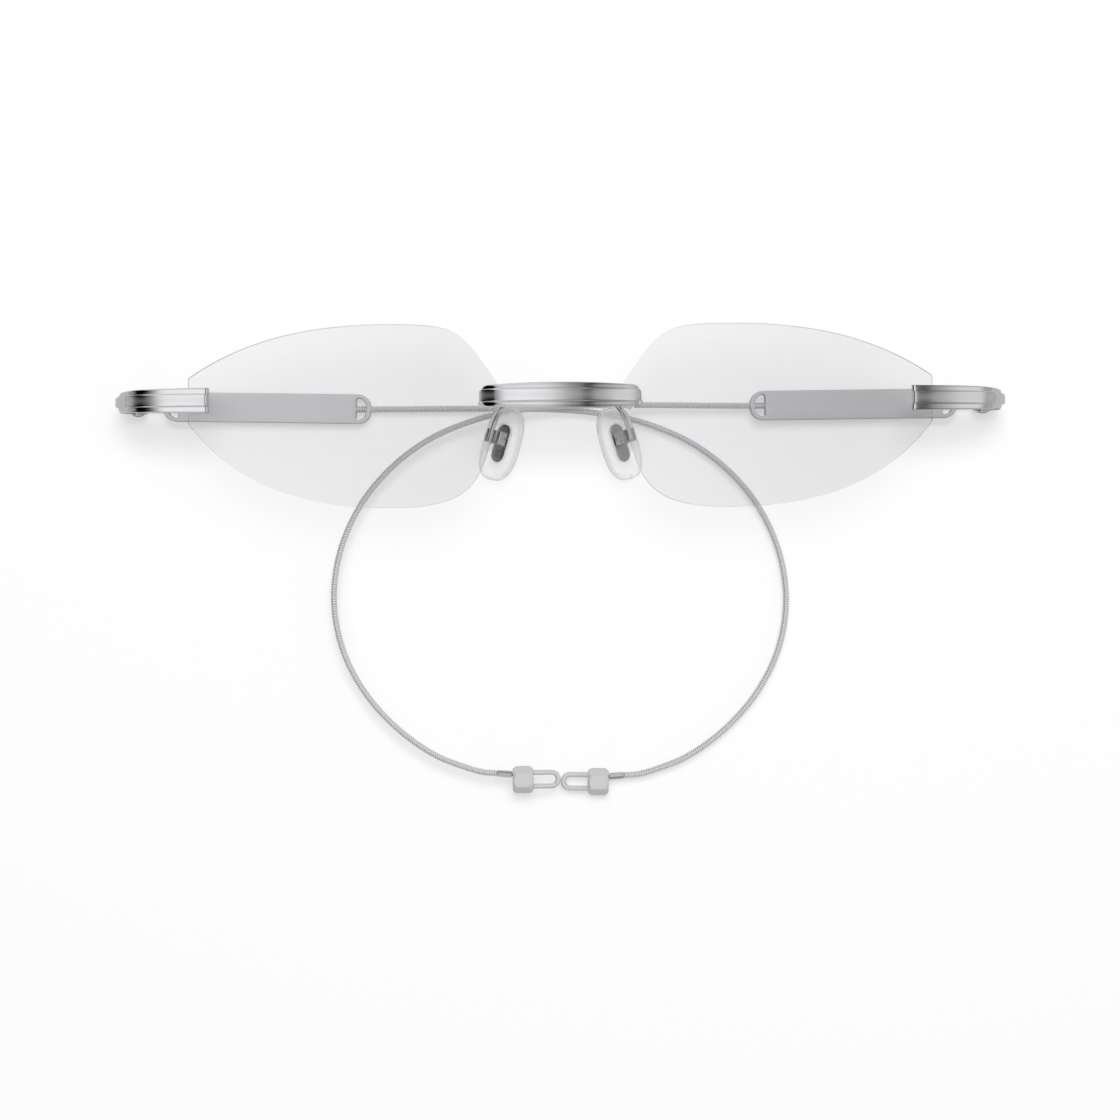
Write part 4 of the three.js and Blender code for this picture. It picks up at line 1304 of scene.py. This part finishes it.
class GLASSES_OT_hinges(bpy.types.Operator):
    """Hinge eyes with their stems, and the slotted hinge screws"""

    bl_idname = "glasses.hinges"
    bl_label = "Hinges"

    def execute(self, context):
        temple = context.scene.glasses_temple
        ring = [circle(KNUCKLE_RADIUS), circle(PIN_RADIUS + BORE_GAP, hole=True)]
        eye = plate(ring, level(-EYE_HEIGHT / 2), level(EYE_HEIGHT / 2), KNUCKLE_BEVEL, KNUCKLE_NET)
        reach = temple.plate_start + temple.end_bar + temple.window + WIRE_SEAT
        run = -np.linspace(KNUCKLE_RADIUS / 2, reach, num=80)
        path = np.column_stack([run, np.zeros((len(run), 2))])
        stem = tube(path, round_ended(path, STEM_RADIUS), (0, 0, 1))
        show_temple_pieces("hinge_eye", [moved(eye, AXIS_Y_UP), stem], satin_steel())
        head_base = -KNUCKLE_HEIGHT / 2 - SOLDER_GAP
        head_radius, head_height, slot_width = 1.05 * MM, 0.45 * MM, 0.3 * MM
        shank = KNUCKLE_HEIGHT + SOLDER_GAP
        made = screw(head_radius, head_height, PIN_RADIUS, shank, slot_width)
        placed = moved(made, TURN_HEAD_DOWN, (HINGE_X, head_base, HINGE_Z))
        show_pair("hinge_screw", [placed], polished_steel(), "front")
        return {"FINISHED"}


# Temples


def rounded_rectangle(low, high, radius, steps=14):
    """A rectangle with round corners, run anticlockwise. Each corner may have its own radius."""
    (x0, y0), (x1, y1) = low, high
    corners = ((x1, y0, -1, 1), (x1, y1, -1, -1), (x0, y1, 1, -1), (x0, y0, 1, 1))
    radii = np.broadcast_to(radius, 4)
    rounds = []
    for quarter, ((x, y, right, up), r) in enumerate(zip(corners, radii)):
        start = (quarter - 1) * QUARTER
        rounds.append(arc((x + right * r, y + up * r), r, start, start + QUARTER, steps))
    return np.vstack(rounds)


class GLASSES_OT_temple_plates(bpy.types.Operator):
    """Temple plates: flat, with round corners, rounded edges and a D-shaped window at each end"""

    bl_idname = "glasses.temple_plates"
    bl_label = "Temple plates"

    def execute(self, context):
        temple = context.scene.glasses_temple
        half = temple.plate_height / 2
        outline = rounded_rectangle((0, -half), (temple.plate_length, half), temple.plate_round)
        side = half - temple.side_bar
        large = temple.plate_round - temple.side_bar
        small = 0.15 * MM
        start, end = temple.end_bar, temple.end_bar + temple.window
        window = rounded_rectangle((start, -side), (end, side), (small, small, large, large))
        far = (temple.plate_length - window[:, 0], window[:, 1])
        window_points = 110
        loops = [
            resampled(outline, count=260, closed=True),
            resampled(window, window_points, closed=True)[::-1],
            resampled(np.column_stack(far), window_points, closed=True),
        ]
        deep = temple.plate_thickness / 2
        made = plate(loops, level(-deep), level(deep), temple.plate_bevel, spacing=0.8 * MM)
        placed = moved(made, np.diag([-1, 1, 1]), (-temple.plate_start, -TEMPLE_DROP, 0))
        show_temple_pieces("temple_plate", [placed], satin_steel())
        return {"FINISHED"}


CableEnd = namedtuple("CableEnd", "nut_inner nut_outer drop rise")


def cable_end():
    """Nut's two ends from the middle of the frame, and its axis below and over the temple's line."""
    fitting = bpy.context.scene.glasses_fitting
    nut_inner = EYELET_GAP + fitting.eyelet_length
    drop = HOOK_ROUTE[-1][1] * MM + HOOK_RUNOUT + CABLE_OFFSET
    rise = fitting.nut_flats / 2 - HINGE_Z
    return CableEnd(nut_inner, nut_inner + fitting.nut_length, drop, rise)


def at_cable_end(shape):
    """A shape along X from the middle of the frame, put at the end of the cable."""
    end = cable_end()
    return moved(shape, place=(-HINGE_X, -TEMPLE_DROP - end.drop, end.rise))


def winding_end(fitting):
    """Place past the middle of the frame where the winding ends and the sleeve starts."""
    return cable_end().nut_outer + BORE_GAP + fitting.ferrule_length + SOLDER_GAP


def leaning(shape):
    """A shape on the cable's end, turned about its entry into the nut so that it meets the hook smoothly."""
    entry = np.array([-cable_end().nut_outer, CABLE_OFFSET, 0])
    turn = turn_z(-FERRULE_LEAN)
    return moved(shape, turn, entry - turn @ entry)


def cable_path(temple, fitting):
    """Route of a cable: out of the plate, past the frame's middle, round the hook and up to the sleeve.

    The cable rises to the nut's axis with the square of how far it has come down to it.
    """
    end = cable_end()
    plate_end = temple.plate_start + temple.plate_length
    begin = plate_end - temple.end_bar - temple.window - WIRE_SEAT
    hook = [(past * MM, drop * MM) for past, drop in HOOK_ROUTE]
    route = [(-begin, -TEMPLE_DROP, 0), (-plate_end, -TEMPLE_DROP, 0)]
    for past, drop in hook:
        route.append((-HINGE_X - past, -TEMPLE_DROP - drop, end.rise * (drop / end.drop) ** 2))
    last = winding_end(fitting)
    for past in (last + SEAT_GAP, last):
        drop = end.drop - CABLE_OFFSET - (past - end.nut_outer) * np.tan(FERRULE_LEAN)
        route.append((-HINGE_X - past, -TEMPLE_DROP - drop, end.rise))
    return smooth_route(route, count=1200)


class GLASSES_OT_cables(bpy.types.Operator):
    """Temple cables: a fine wire wound over a sprung core, straight and then a hook. The core ends in the nut

    With f the fraction of a turn at a place on the surface, the radius is the cable's less the rib depth
    times 1 - sqrt(1 - (2 f - 1) ** 2), so that each turn stands out as a half-round ridge.
    """

    bl_idname = "glasses.cables"
    bl_label = "Cables"

    def execute(self, context):
        temple, fitting = context.scene.glasses_temple, context.scene.glasses_fitting
        path = cable_path(temple, fitting)
        run = distances(path)[-1]
        per_turn, sides = 6, 12
        rings = int(run / temple.rib_pitch) * per_turn
        path = resampled(path, rings)
        turn = np.linspace(0, 1, sides, endpoint=False)
        share = (np.arange(rings)[:, None] / per_turn + turn) % 1
        ridge = np.sqrt(1 - (2 * share - 1) ** 2)
        radius = temple.cable_radius - temple.rib_depth * (1 - ridge)
        along = np.broadcast_to(np.linspace(0, run, rings)[:, None], ridge.shape)
        lay = np.stack([along, np.broadcast_to(turn, ridge.shape), ridge], axis=2).reshape(-1, 3)
        wound = tube(path, radius, (0, 0, 1), sides, lay)
        bare = np.linspace(-winding_end(fitting) - SEAT_GAP, CORE_SEAT - cable_end().nut_outer, num=20)
        bare_path = np.column_stack([bare, np.full(len(bare), CABLE_OFFSET), np.zeros(len(bare))])
        core = at_cable_end(leaning(tube(bare_path, CORE_RADIUS, (0, 0, 1))))
        show_temple_pieces("temple_cable", [wound, core], wound_wire())
        return {"FINISHED"}


def shaped_ferrule(fitting):
    """A sleeve with rounded ends and a crimped ring, turned about the core."""
    bore = CORE_RADIUS + SOLDER_GAP
    outer = fitting.ferrule_radius
    ease = 0.08 * MM
    ring = 0.06 * MM
    low = cable_end().nut_outer + BORE_GAP
    high = low + fitting.ferrule_length
    crimp = high - 4 * ring
    profile = [
        (bore, low),
        (outer - ease, low),
        (outer, low + ease),
        (outer, crimp - 2 * ring),
        (outer - ring, crimp - ring),
        (outer - ring, crimp),
        (outer, crimp + ring),
        (outer, high - ease),
        (outer - ease, high),
        (bore, high),
    ]
    return moved(turned(profile), AXIS_BACK_ALONG_X, (0, CABLE_OFFSET, 0))


def shaped_nut(fitting):
    """A hexagon along X with eased edges and turned chamfers.

    The flats' radius is the apothem divided by the p-norm of the six flats' cosines, which eases the
    edges. The chamfer cone joins it by a smooth minimum, the -q norm of the two radii.
    """
    inner, outer, _, _ = cable_end()
    sides, rings, easing, joining = 180, 49, 36, 30
    turn = full_turn(sides)
    apothem = fitting.nut_flats / 2
    flats = full_turn(6) + QUARTER
    facing = np.maximum(np.cos(turn - flats[:, None]), 0)
    hexagon = apothem / np.sum(facing**easing, axis=0) ** (1 / easing)
    corner = fitting.nut_flats / np.sqrt(3)
    share = (1 - np.cos(np.linspace(0, np.pi, rings))) / 2
    along = inner + (outer - inner) * share
    depth = np.minimum(along - inner, outer - along)[:, None]
    cone = corner - fitting.nut_chamfer + depth
    ease = 0.12 * MM
    lip = ease * (1 - np.sqrt(np.maximum(1 - (1 - np.minimum(depth / ease, 1)) ** 2, 0)))
    radius = (hexagon**-joining + cone**-joining) ** (-1 / joining) - lip
    rows = np.stack(
        [
            np.broadcast_to(-along[:, None], radius.shape),
            radius * np.cos(turn),
            radius * np.sin(turn),
        ],
        axis=2,
    )
    return grid(rows, first=(-inner, 0, 0), last=(-outer, 0, 0))


def shaped_eyelet(fitting):
    """A U of wire, with its legs in the nut: a leg, a half circle and the other leg."""
    bend = fitting.eyelet_height / 2 - fitting.eyelet_wire
    bend_x = -EYELET_GAP - fitting.eyelet_wire - bend
    root = -cable_end().nut_inner - EYELET_SEAT
    half_circle = arc((bend_x, 0), bend, QUARTER, -QUARTER, count=60)
    flat = resampled(np.vstack([(root, bend), half_circle, (root, -bend)]), count=150)
    return tube(np.column_stack([flat, np.zeros(len(flat))]), fitting.eyelet_wire, (0, 0, 1))


class GLASSES_OT_end_fittings(bpy.types.Operator):
    """Ferrules, hex nuts and eyelets at the ends of the cables"""

    bl_idname = "glasses.end_fittings"
    bl_label = "End fittings"

    def execute(self, context):
        fitting = context.scene.glasses_fitting
        ferrule = at_cable_end(leaning(shaped_ferrule(fitting)))
        nut = at_cable_end(shaped_nut(fitting))
        eyelet = at_cable_end(shaped_eyelet(fitting))
        show_temple_pieces("ferrule", [ferrule], polished_steel())
        show_temple_pieces("end_nut", [nut], satin_steel())
        show_temple_pieces("end_eyelet", [eyelet], satin_steel())
        return {"FINISHED"}


# Nose pads


def pad_heights(pad):
    """Screw axis, box roof and arm axis over the pad's middle plane."""
    screw_axis = pad.back + pad.screw_rise
    box_top = screw_axis + pad.lug_radius + SLIDE_GAP + pad.box_roof
    return screw_axis, box_top, box_top + SOLDER_GAP + pad.arm_radius


def pad_frame(lens, pad):
    """Axes of the right pad as matrix columns, and its middle: X across, Y along, Z out of the mount side."""
    _, _, arm = pad_heights(pad)
    behind = lens_surface(lens, lens.thickness)(lens.gap / 2, -pad.drop) - pad.gap - pad.arm_radius
    middle = (lens.gap / 2 - pad.inset, -pad.drop, behind - arm * np.cos(pad.splay))
    return turn_z(pad.flare) @ turn_y(pad.splay), np.array(middle)


def pad_surface(pad):
    """A crowned pad with a flat mount side and a slot, as rings from the crown's pole to the slot's floor.

    In plan each ring is the pad's outline, an oval of the power squareness, or the slot's stadium, times a
    share. On the crown, with v the angle from the pole, the share is sin(v) ** fullness and the height is
    -crown * cos(v), so the crown is flat with full sides.
    """
    sides, squareness, fullness = 120, 2.8, 0.6
    pole_turn, crown_rings, rim_steps, lip_steps = 0.03, 30, 6, 4
    ease, lip = 0.35 * MM, 0.12 * MM
    turn = full_turn(sides)
    across, along = np.abs(np.cos(turn)), np.abs(np.sin(turn))
    oval = (across**squareness + along**squareness) ** (-1 / squareness)
    around = np.column_stack([np.cos(turn), np.sin(turn)])
    outline = oval[:, None] * around * (pad.pad_width, pad.pad_length) / 2
    slot_reach = stadium_reach(turn, pad.slot_length, pad.slot_width)[:, None]
    slot = slot_reach * around
    rim_turn = np.arccos(-(pad.back - ease) / pad.crown)
    rings, heights = [], []
    for v in np.linspace(pole_turn, rim_turn, crown_rings):
        rings.append(outline * np.sin(v) ** fullness)
        heights.append(-pad.crown * np.cos(v))
    rim = outline * np.sin(rim_turn) ** fullness
    shrink = ease / np.linalg.norm(rim, axis=1)[:, None]
    for t in np.linspace(0, QUARTER, rim_steps + 1)[1:]:
        rings.append(rim * (1 - shrink * (1 - np.cos(t))))
        heights.append(pad.back - ease * (1 - np.sin(t)))
    face = rings[-1]
    lip_edge = slot * (1 + lip / slot_reach)
    for share in (0.25, 0.5, 0.75):
        rings.append(face + (lip_edge - face) * share)
        heights.append(pad.back)
    for t in np.linspace(0, QUARTER, lip_steps + 1):
        rings.append(slot * (1 + lip * (1 - np.sin(t)) / slot_reach))
        heights.append(pad.back - lip * (1 - np.cos(t)))
    floor = pad.back - pad.slot_depth
    rings += [slot, slot / 2]
    heights += [floor, floor]
    rows = np.stack([np.column_stack([ring, np.full(sides, z)]) for ring, z in zip(rings, heights)])
    return grid(rows, first=(0, 0, -pad.crown), last=(0, 0, floor))


def pad_core(pad):
    """A stadium plate in the slot, with an upright lug that the pad screw goes through."""
    screw_axis, _, _ = pad_heights(pad)
    low = pad.back - pad.slot_depth + SOLDER_GAP
    turn = full_turn(90)
    reach = stadium_reach(turn, pad.slot_length - 2 * BORE_GAP, pad.slot_width - 2 * BORE_GAP)
    edge = reach[:, None] * np.column_stack([np.cos(turn), np.sin(turn)])
    stadium = resampled(edge, count=110, closed=True)
    base = plate([stadium], level(low), level(low + pad.core), bevel=0.08 * MM, spacing=0.7 * MM)
    axis = (pad.screw_shift, screw_axis)
    top = arc(axis, pad.lug_radius, 0, np.pi, count=40)
    foot = low + pad.core / 2
    feet = [(pad.screw_shift - pad.lug_radius, foot), (pad.screw_shift + pad.lug_radius, foot)]
    foot_ease = 0.2 * MM
    eases = np.concatenate([np.zeros(len(top)), [foot_ease, foot_ease]])
    lug = resampled(eased(np.vstack([top, feet]), eases), count=100, closed=True)
    hole = circle(pad.screw_radius + BORE_GAP, axis, sides=32, hole=True)
    half = pad.lug_width / 2
    upright = plate([lug, hole], level(-half), level(half), bevel=0.06 * MM, spacing=0.4 * MM)
    return [base, moved(upright, AXIS_X_UP)]


def pad_box(pad):
    """A channel over the lug, open towards the pad, with rounded edges."""
    _, box_top, _ = pad_heights(pad)
    low = pad.back + pad.screw_rise / 2
    half = pad.box_width / 2
    channel = pad.lug_width / 2 + SLIDE_GAP
    roof = box_top - pad.box_roof
    corners = [
        (half, low),
        (half, box_top),
        (-half, box_top),
        (-half, low),
        (-channel, low),
        (-channel, roof),
        (channel, roof),
        (channel, low),
    ]
    roof_ease, rim_ease = 0.3 * MM, 0.14 * MM
    eases = [rim_ease, roof_ease, roof_ease, rim_ease, *[rim_ease] * 4]
    outline = resampled(eased(corners, eases), count=160, closed=True)
    start = pad.screw_shift - pad.box_length / 2
    end = start + pad.box_length
    made = plate([outline], level(start), level(end), bevel=0.05 * MM, spacing=0.4 * MM)
    return moved(made, AXIS_Y_UP)


def arm_path(lens, strip, pad):
    """Wire from the back of the bridge, past the lens point and down onto the roof of the pad box."""
    matrix, middle = pad_frame(lens, pad)
    _, _, seat = pad_heights(pad)
    radius = pad.arm_radius
    root_x = lens.gap / 2 - pad.arm_inset
    _, _, _, arc_middle = bridge_bends(lens, strip)
    root_z = arc_middle[1] + np.sqrt(strip.bridge_arc**2 - (root_x + radius) ** 2) - SOLDER_GAP
    clear = lens_surface(lens, lens.thickness)(lens.gap / 2, 0) - 3 * radius
    shoulder = matrix @ (0, pad.screw_shift + pad.box_length, seat) + middle
    foot = matrix @ (0, pad.screw_shift - pad.box_length / 2, seat) + middle
    rise = strip.bridge_rise
    elbow = np.array([root_x, rise, clear - 2 * radius])
    route = [
        (root_x, rise, root_z),
        (root_x, rise, (root_z + clear) / 2),
        (root_x, rise - 2 * radius, clear),
        (elbow + shoulder) / 2,
        shoulder,
        foot,
    ]
    return smooth_route(route, count=120)


class GLASSES_OT_nose_pads(bpy.types.Operator):
    """Silicone nose pads on metal cores, with the boxes, screws and arms that hold them"""

    bl_idname = "glasses.nose_pads"
    bl_label = "Nose pads"

    def execute(self, context):
        scene = context.scene
        lens, strip, pad = scene.glasses_lens, scene.glasses_strip, scene.glasses_pad
        matrix, middle = pad_frame(lens, pad)
        screw_axis, _, _ = pad_heights(pad)

        def placed(*shapes):
            return [moved(shape, matrix, middle) for shape in shapes]

        soft = placed(pad_surface(pad))
        for piece in show_pair("nose_pad", soft, clear_silicone(), "{}_pad"):
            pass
        show_pair("pad_core", placed(*pad_core(pad)), pad_metal_painted_shade(), "{}_pad")
        show_pair("pad_box", placed(pad_box(pad)), pad_metal_painted_shade(), "front")
        half = pad.box_width / 2
        shank = pad.box_width + SOLDER_GAP
        slot_width = 0.24 * MM
        made = screw(pad.screw_head, pad.screw_head, pad.screw_radius, shank, slot_width)
        head = moved(made, TURN_HEAD_ACROSS, (half + SOLDER_GAP, pad.screw_shift, screw_axis))
        show_pair("pad_screw", placed(head), polished_steel(), "front")
        path = arm_path(lens, strip, pad)
        arm = tube(path, round_ended(path, pad.arm_radius), (1, 0, 0))
        show_pair("pad_arm", [arm], polished_steel(), "front")
        return {"FINISHED"}


# Stage

LAMP_SIDE = (0.05, 0.35, 0.93)  # from the middle towards the soft lamp
SENSOR_WIDTH = 36  # millimetres


def floor_material(stage):
    """White table top, half clear so that temples that swing below it still show. It fades out far away."""
    material, tree = blank("white_table")
    near_cover = 0.5
    place = add(tree, "ShaderNodeTexCoord")
    away = add(tree, "ShaderNodeVectorMath", {0: place.outputs["Object"]}, operation="LENGTH")
    cover = add(
        tree,
        "ShaderNodeMapRange",
        {
            "Value": away.outputs["Value"],
            "From Min": stage.fade_start,
            "From Max": stage.fade_end,
            "To Min": near_cover,
            "To Max": 0,
        },
        interpolation_type="SMOOTHSTEP",
    )
    clear = add(tree, "ShaderNodeBsdfTransparent")
    white = add(tree, "ShaderNodeBsdfDiffuse", {"Color": (*stage.floor, 1)})
    shader = add(
        tree, "ShaderNodeMixShader", {"Fac": cover.outputs[0], 1: clear.outputs[0], 2: white.outputs[0]}
    )
    finished(tree, shader)
    return material


def tone_ramp(tree, value, stops):
    """A grey ramp over a value from -1 to 1, through (value, tone) stops."""
    share = add(tree, "ShaderNodeMapRange", {"Value": value, "From Min": -1, "From Max": 1})
    tones = add(tree, "ShaderNodeValToRGB", {"Fac": share.outputs[0]})
    ramp = tones.color_ramp.elements
    while len(ramp) < len(stops):
        ramp.new(0.5)
    for stop, (position, tone) in zip(ramp, stops):
        stop.position = (position + 1) / 2
        stop.color = (tone, tone, tone, 1)
    return tones


def studio_world():
    """A white room with long dark and grey screens beside the camera, which the metal reflects.

    The screens are a ramp along the X part of the direction. Their contrast grows on both sides of the camera
    in Y, and they darken towards the walls at both ends of Y. Below the table it is dim. The camera, and what
    it sees through the lenses, meets plain white instead.
    """
    world = bpy.data.worlds.new("studio")
    world.use_nodes = True
    tree = world.node_tree
    tree.nodes.clear()
    place = add(tree, "ShaderNodeTexCoord")
    parts = add(tree, "ShaderNodeSeparateXYZ", {"Vector": place.outputs["Generated"]})
    screens = (
        (-1.0, 0.52),
        (-0.93, 0.38),
        (-0.84, 0.17),
        (-0.74, 0.13),
        (-0.58, 0.13),
        (-0.54, 0.19),
        (-0.5, 0.48),
        (-0.47, 0.76),
        (-0.43, 0.9),
        (-0.34, 0.93),
        (-0.25, 0.91),
        (-0.15, 0.86),
        (-0.08, 0.79),
        (0.0, 0.64),
        (0.09, 0.46),
        (0.16, 0.38),
        (0.21, 0.25),
        (0.25, 0.27),
        (0.3, 0.42),
        (0.38, 0.54),
        (0.46, 0.7),
        (0.54, 0.73),
        (0.61, 0.72),
        (0.71, 0.7),
        (0.81, 0.58),
        (0.88, 0.46),
        (1.0, 0.5),
    )
    tones = tone_ramp(tree, parts.outputs["X"], screens)
    mean_tone, middle_y = 0.6, 0.07
    from_middle = add(tree, "ShaderNodeMath", {0: parts.outputs["Y"], 1: middle_y}, operation="SUBTRACT")
    aside = add(tree, "ShaderNodeMath", {0: from_middle.outputs[0]}, operation="ABSOLUTE")
    contrast = add(
        tree,
        "ShaderNodeMapRange",
        {"Value": aside.outputs[0], "From Min": 0, "From Max": 0.21, "To Min": 1, "To Max": 1.45},
    )
    away = add(tree, "ShaderNodeMath", {0: tones.outputs[0], 1: mean_tone}, operation="SUBTRACT")
    shaded = add(
        tree,
        "ShaderNodeMath",
        {0: away.outputs[0], 1: contrast.outputs[0], 2: mean_tone},
        operation="MULTIPLY_ADD",
        use_clamp=True,
    )
    walls = ((-1.0, 0.7), (-0.55, 0.6), (-0.2, 1.0), (0.3, 1.0), (0.6, 0.72), (1.0, 0.8))
    falling = tone_ramp(tree, parts.outputs["Y"], walls)
    room_tone = add(
        tree, "ShaderNodeMath", {0: shaded.outputs[0], 1: falling.outputs[0]}, operation="MULTIPLY"
    )
    above = add(
        tree,
        "ShaderNodeMapRange",
        {
            "Value": parts.outputs["Z"],
            "From Min": -0.02,
            "From Max": 0,
            "To Min": 0.12,
            "To Max": room_tone.outputs[0],
        },
    )
    path = add(tree, "ShaderNodeLightPath")
    plain = add(
        tree,
        "ShaderNodeMath",
        {0: path.outputs["Is Camera Ray"], 1: path.outputs["Is Transmission Ray"]},
        operation="MAXIMUM",
    )
    room = add(tree, "ShaderNodeBackground", {"Color": above.outputs[0], "Strength": 1.0})
    white = add(tree, "ShaderNodeBackground", {"Color": (1, 1, 1, 1), "Strength": 1.0})
    mixed = add(
        tree, "ShaderNodeMixShader", {"Fac": plain.outputs[0], 1: room.outputs[0], 2: white.outputs[0]}
    )
    add(tree, "ShaderNodeOutputWorld", {"Surface": mixed.outputs[0]})
    return world


class GLASSES_OT_stage(bpy.types.Operator):
    """White table, soft lamp, studio surroundings and a camera straight above"""

    bl_idname = "glasses.stage"
    bl_label = "Stage"

    def execute(self, context):
        scene = context.scene
        stage = scene.glasses_stage
        half = stage.floor_width / 2
        corners = [(-half, -half, 0), (half, -half, 0), (half, half, 0), (-half, half, 0)]
        mesh = bpy.data.meshes.new("table")
        mesh.from_pydata(corners, [], [(0, 1, 2, 3)])
        mesh.materials.append(floor_material(stage))
        floor = bpy.data.objects.new("table", mesh)
        scene.collection.objects.link(floor)

        lamp = bpy.data.lights.new("soft_lamp", "AREA")
        lamp.energy = stage.lamp_power
        lamp.size = stage.lamp_width
        holder = bpy.data.objects.new("soft_lamp", lamp)
        aim = Vector(LAMP_SIDE).normalized()
        holder.location = aim * stage.lamp_distance
        holder.rotation_euler = aim.to_track_quat("Z", "Y").to_euler()
        holder.visible_glossy = False
        scene.collection.objects.link(holder)

        optics = bpy.data.cameras.new("above")
        optics.sensor_width = SENSOR_WIDTH
        optics.lens = stage.focal_length
        optics.clip_start = 10 * MM
        camera = bpy.data.objects.new("above", optics)
        camera.location = (stage.camera_right, FIXING_Y - stage.camera_drop, stage.camera_height)
        camera.rotation_euler = (0, 0, stage.camera_roll)
        scene.collection.objects.link(camera)
        scene.camera = camera
        scene.world = studio_world()
        scene.view_settings.view_transform = "Standard"
        return {"FINISHED"}


class GLASSES_PT_sidebar(bpy.types.Panel):
    """Sizes, colours and makers of the glasses"""

    bl_idname = "GLASSES_PT_sidebar"
    bl_label = "Glasses"
    bl_space_type = "VIEW_3D"
    bl_region_type = "UI"
    bl_category = "Glasses"

    def draw(self, context):
        for maker in MAKERS:
            self.layout.operator(maker.bl_idname)
        for name, group in SETTINGS.items():
            box = self.layout.box()
            box.label(text=group.__doc__)
            for field in group.__annotations__:
                box.prop(getattr(context.scene, name), field)


MAKERS = (
    GLASSES_OT_stage,
    GLASSES_OT_cables,
    GLASSES_OT_end_fittings,
    GLASSES_OT_temple_plates,
    GLASSES_OT_hinges,
    GLASSES_OT_lenses,
    GLASSES_OT_bridge,
    GLASSES_OT_endpieces,
    GLASSES_OT_lens_fixings,
    GLASSES_OT_nose_pads,
)


def register():
    for group in SETTINGS.values():
        bpy.utils.register_class(group)
    for name, group in SETTINGS.items():
        setattr(bpy.types.Scene, name, PointerProperty(type=group))
    for maker in (*MAKERS, GLASSES_PT_sidebar):
        bpy.utils.register_class(maker)


def unregister():
    for maker in (*MAKERS, GLASSES_PT_sidebar):
        bpy.utils.unregister_class(maker)
    for name in SETTINGS:
        delattr(bpy.types.Scene, name)
    for group in SETTINGS.values():
        bpy.utils.unregister_class(group)


def main():
    register()
    for maker in MAKERS:
        make = getattr(bpy.ops.glasses, maker.bl_idname.removeprefix("glasses."))
        make()


if __name__ == "__main__":
    main()
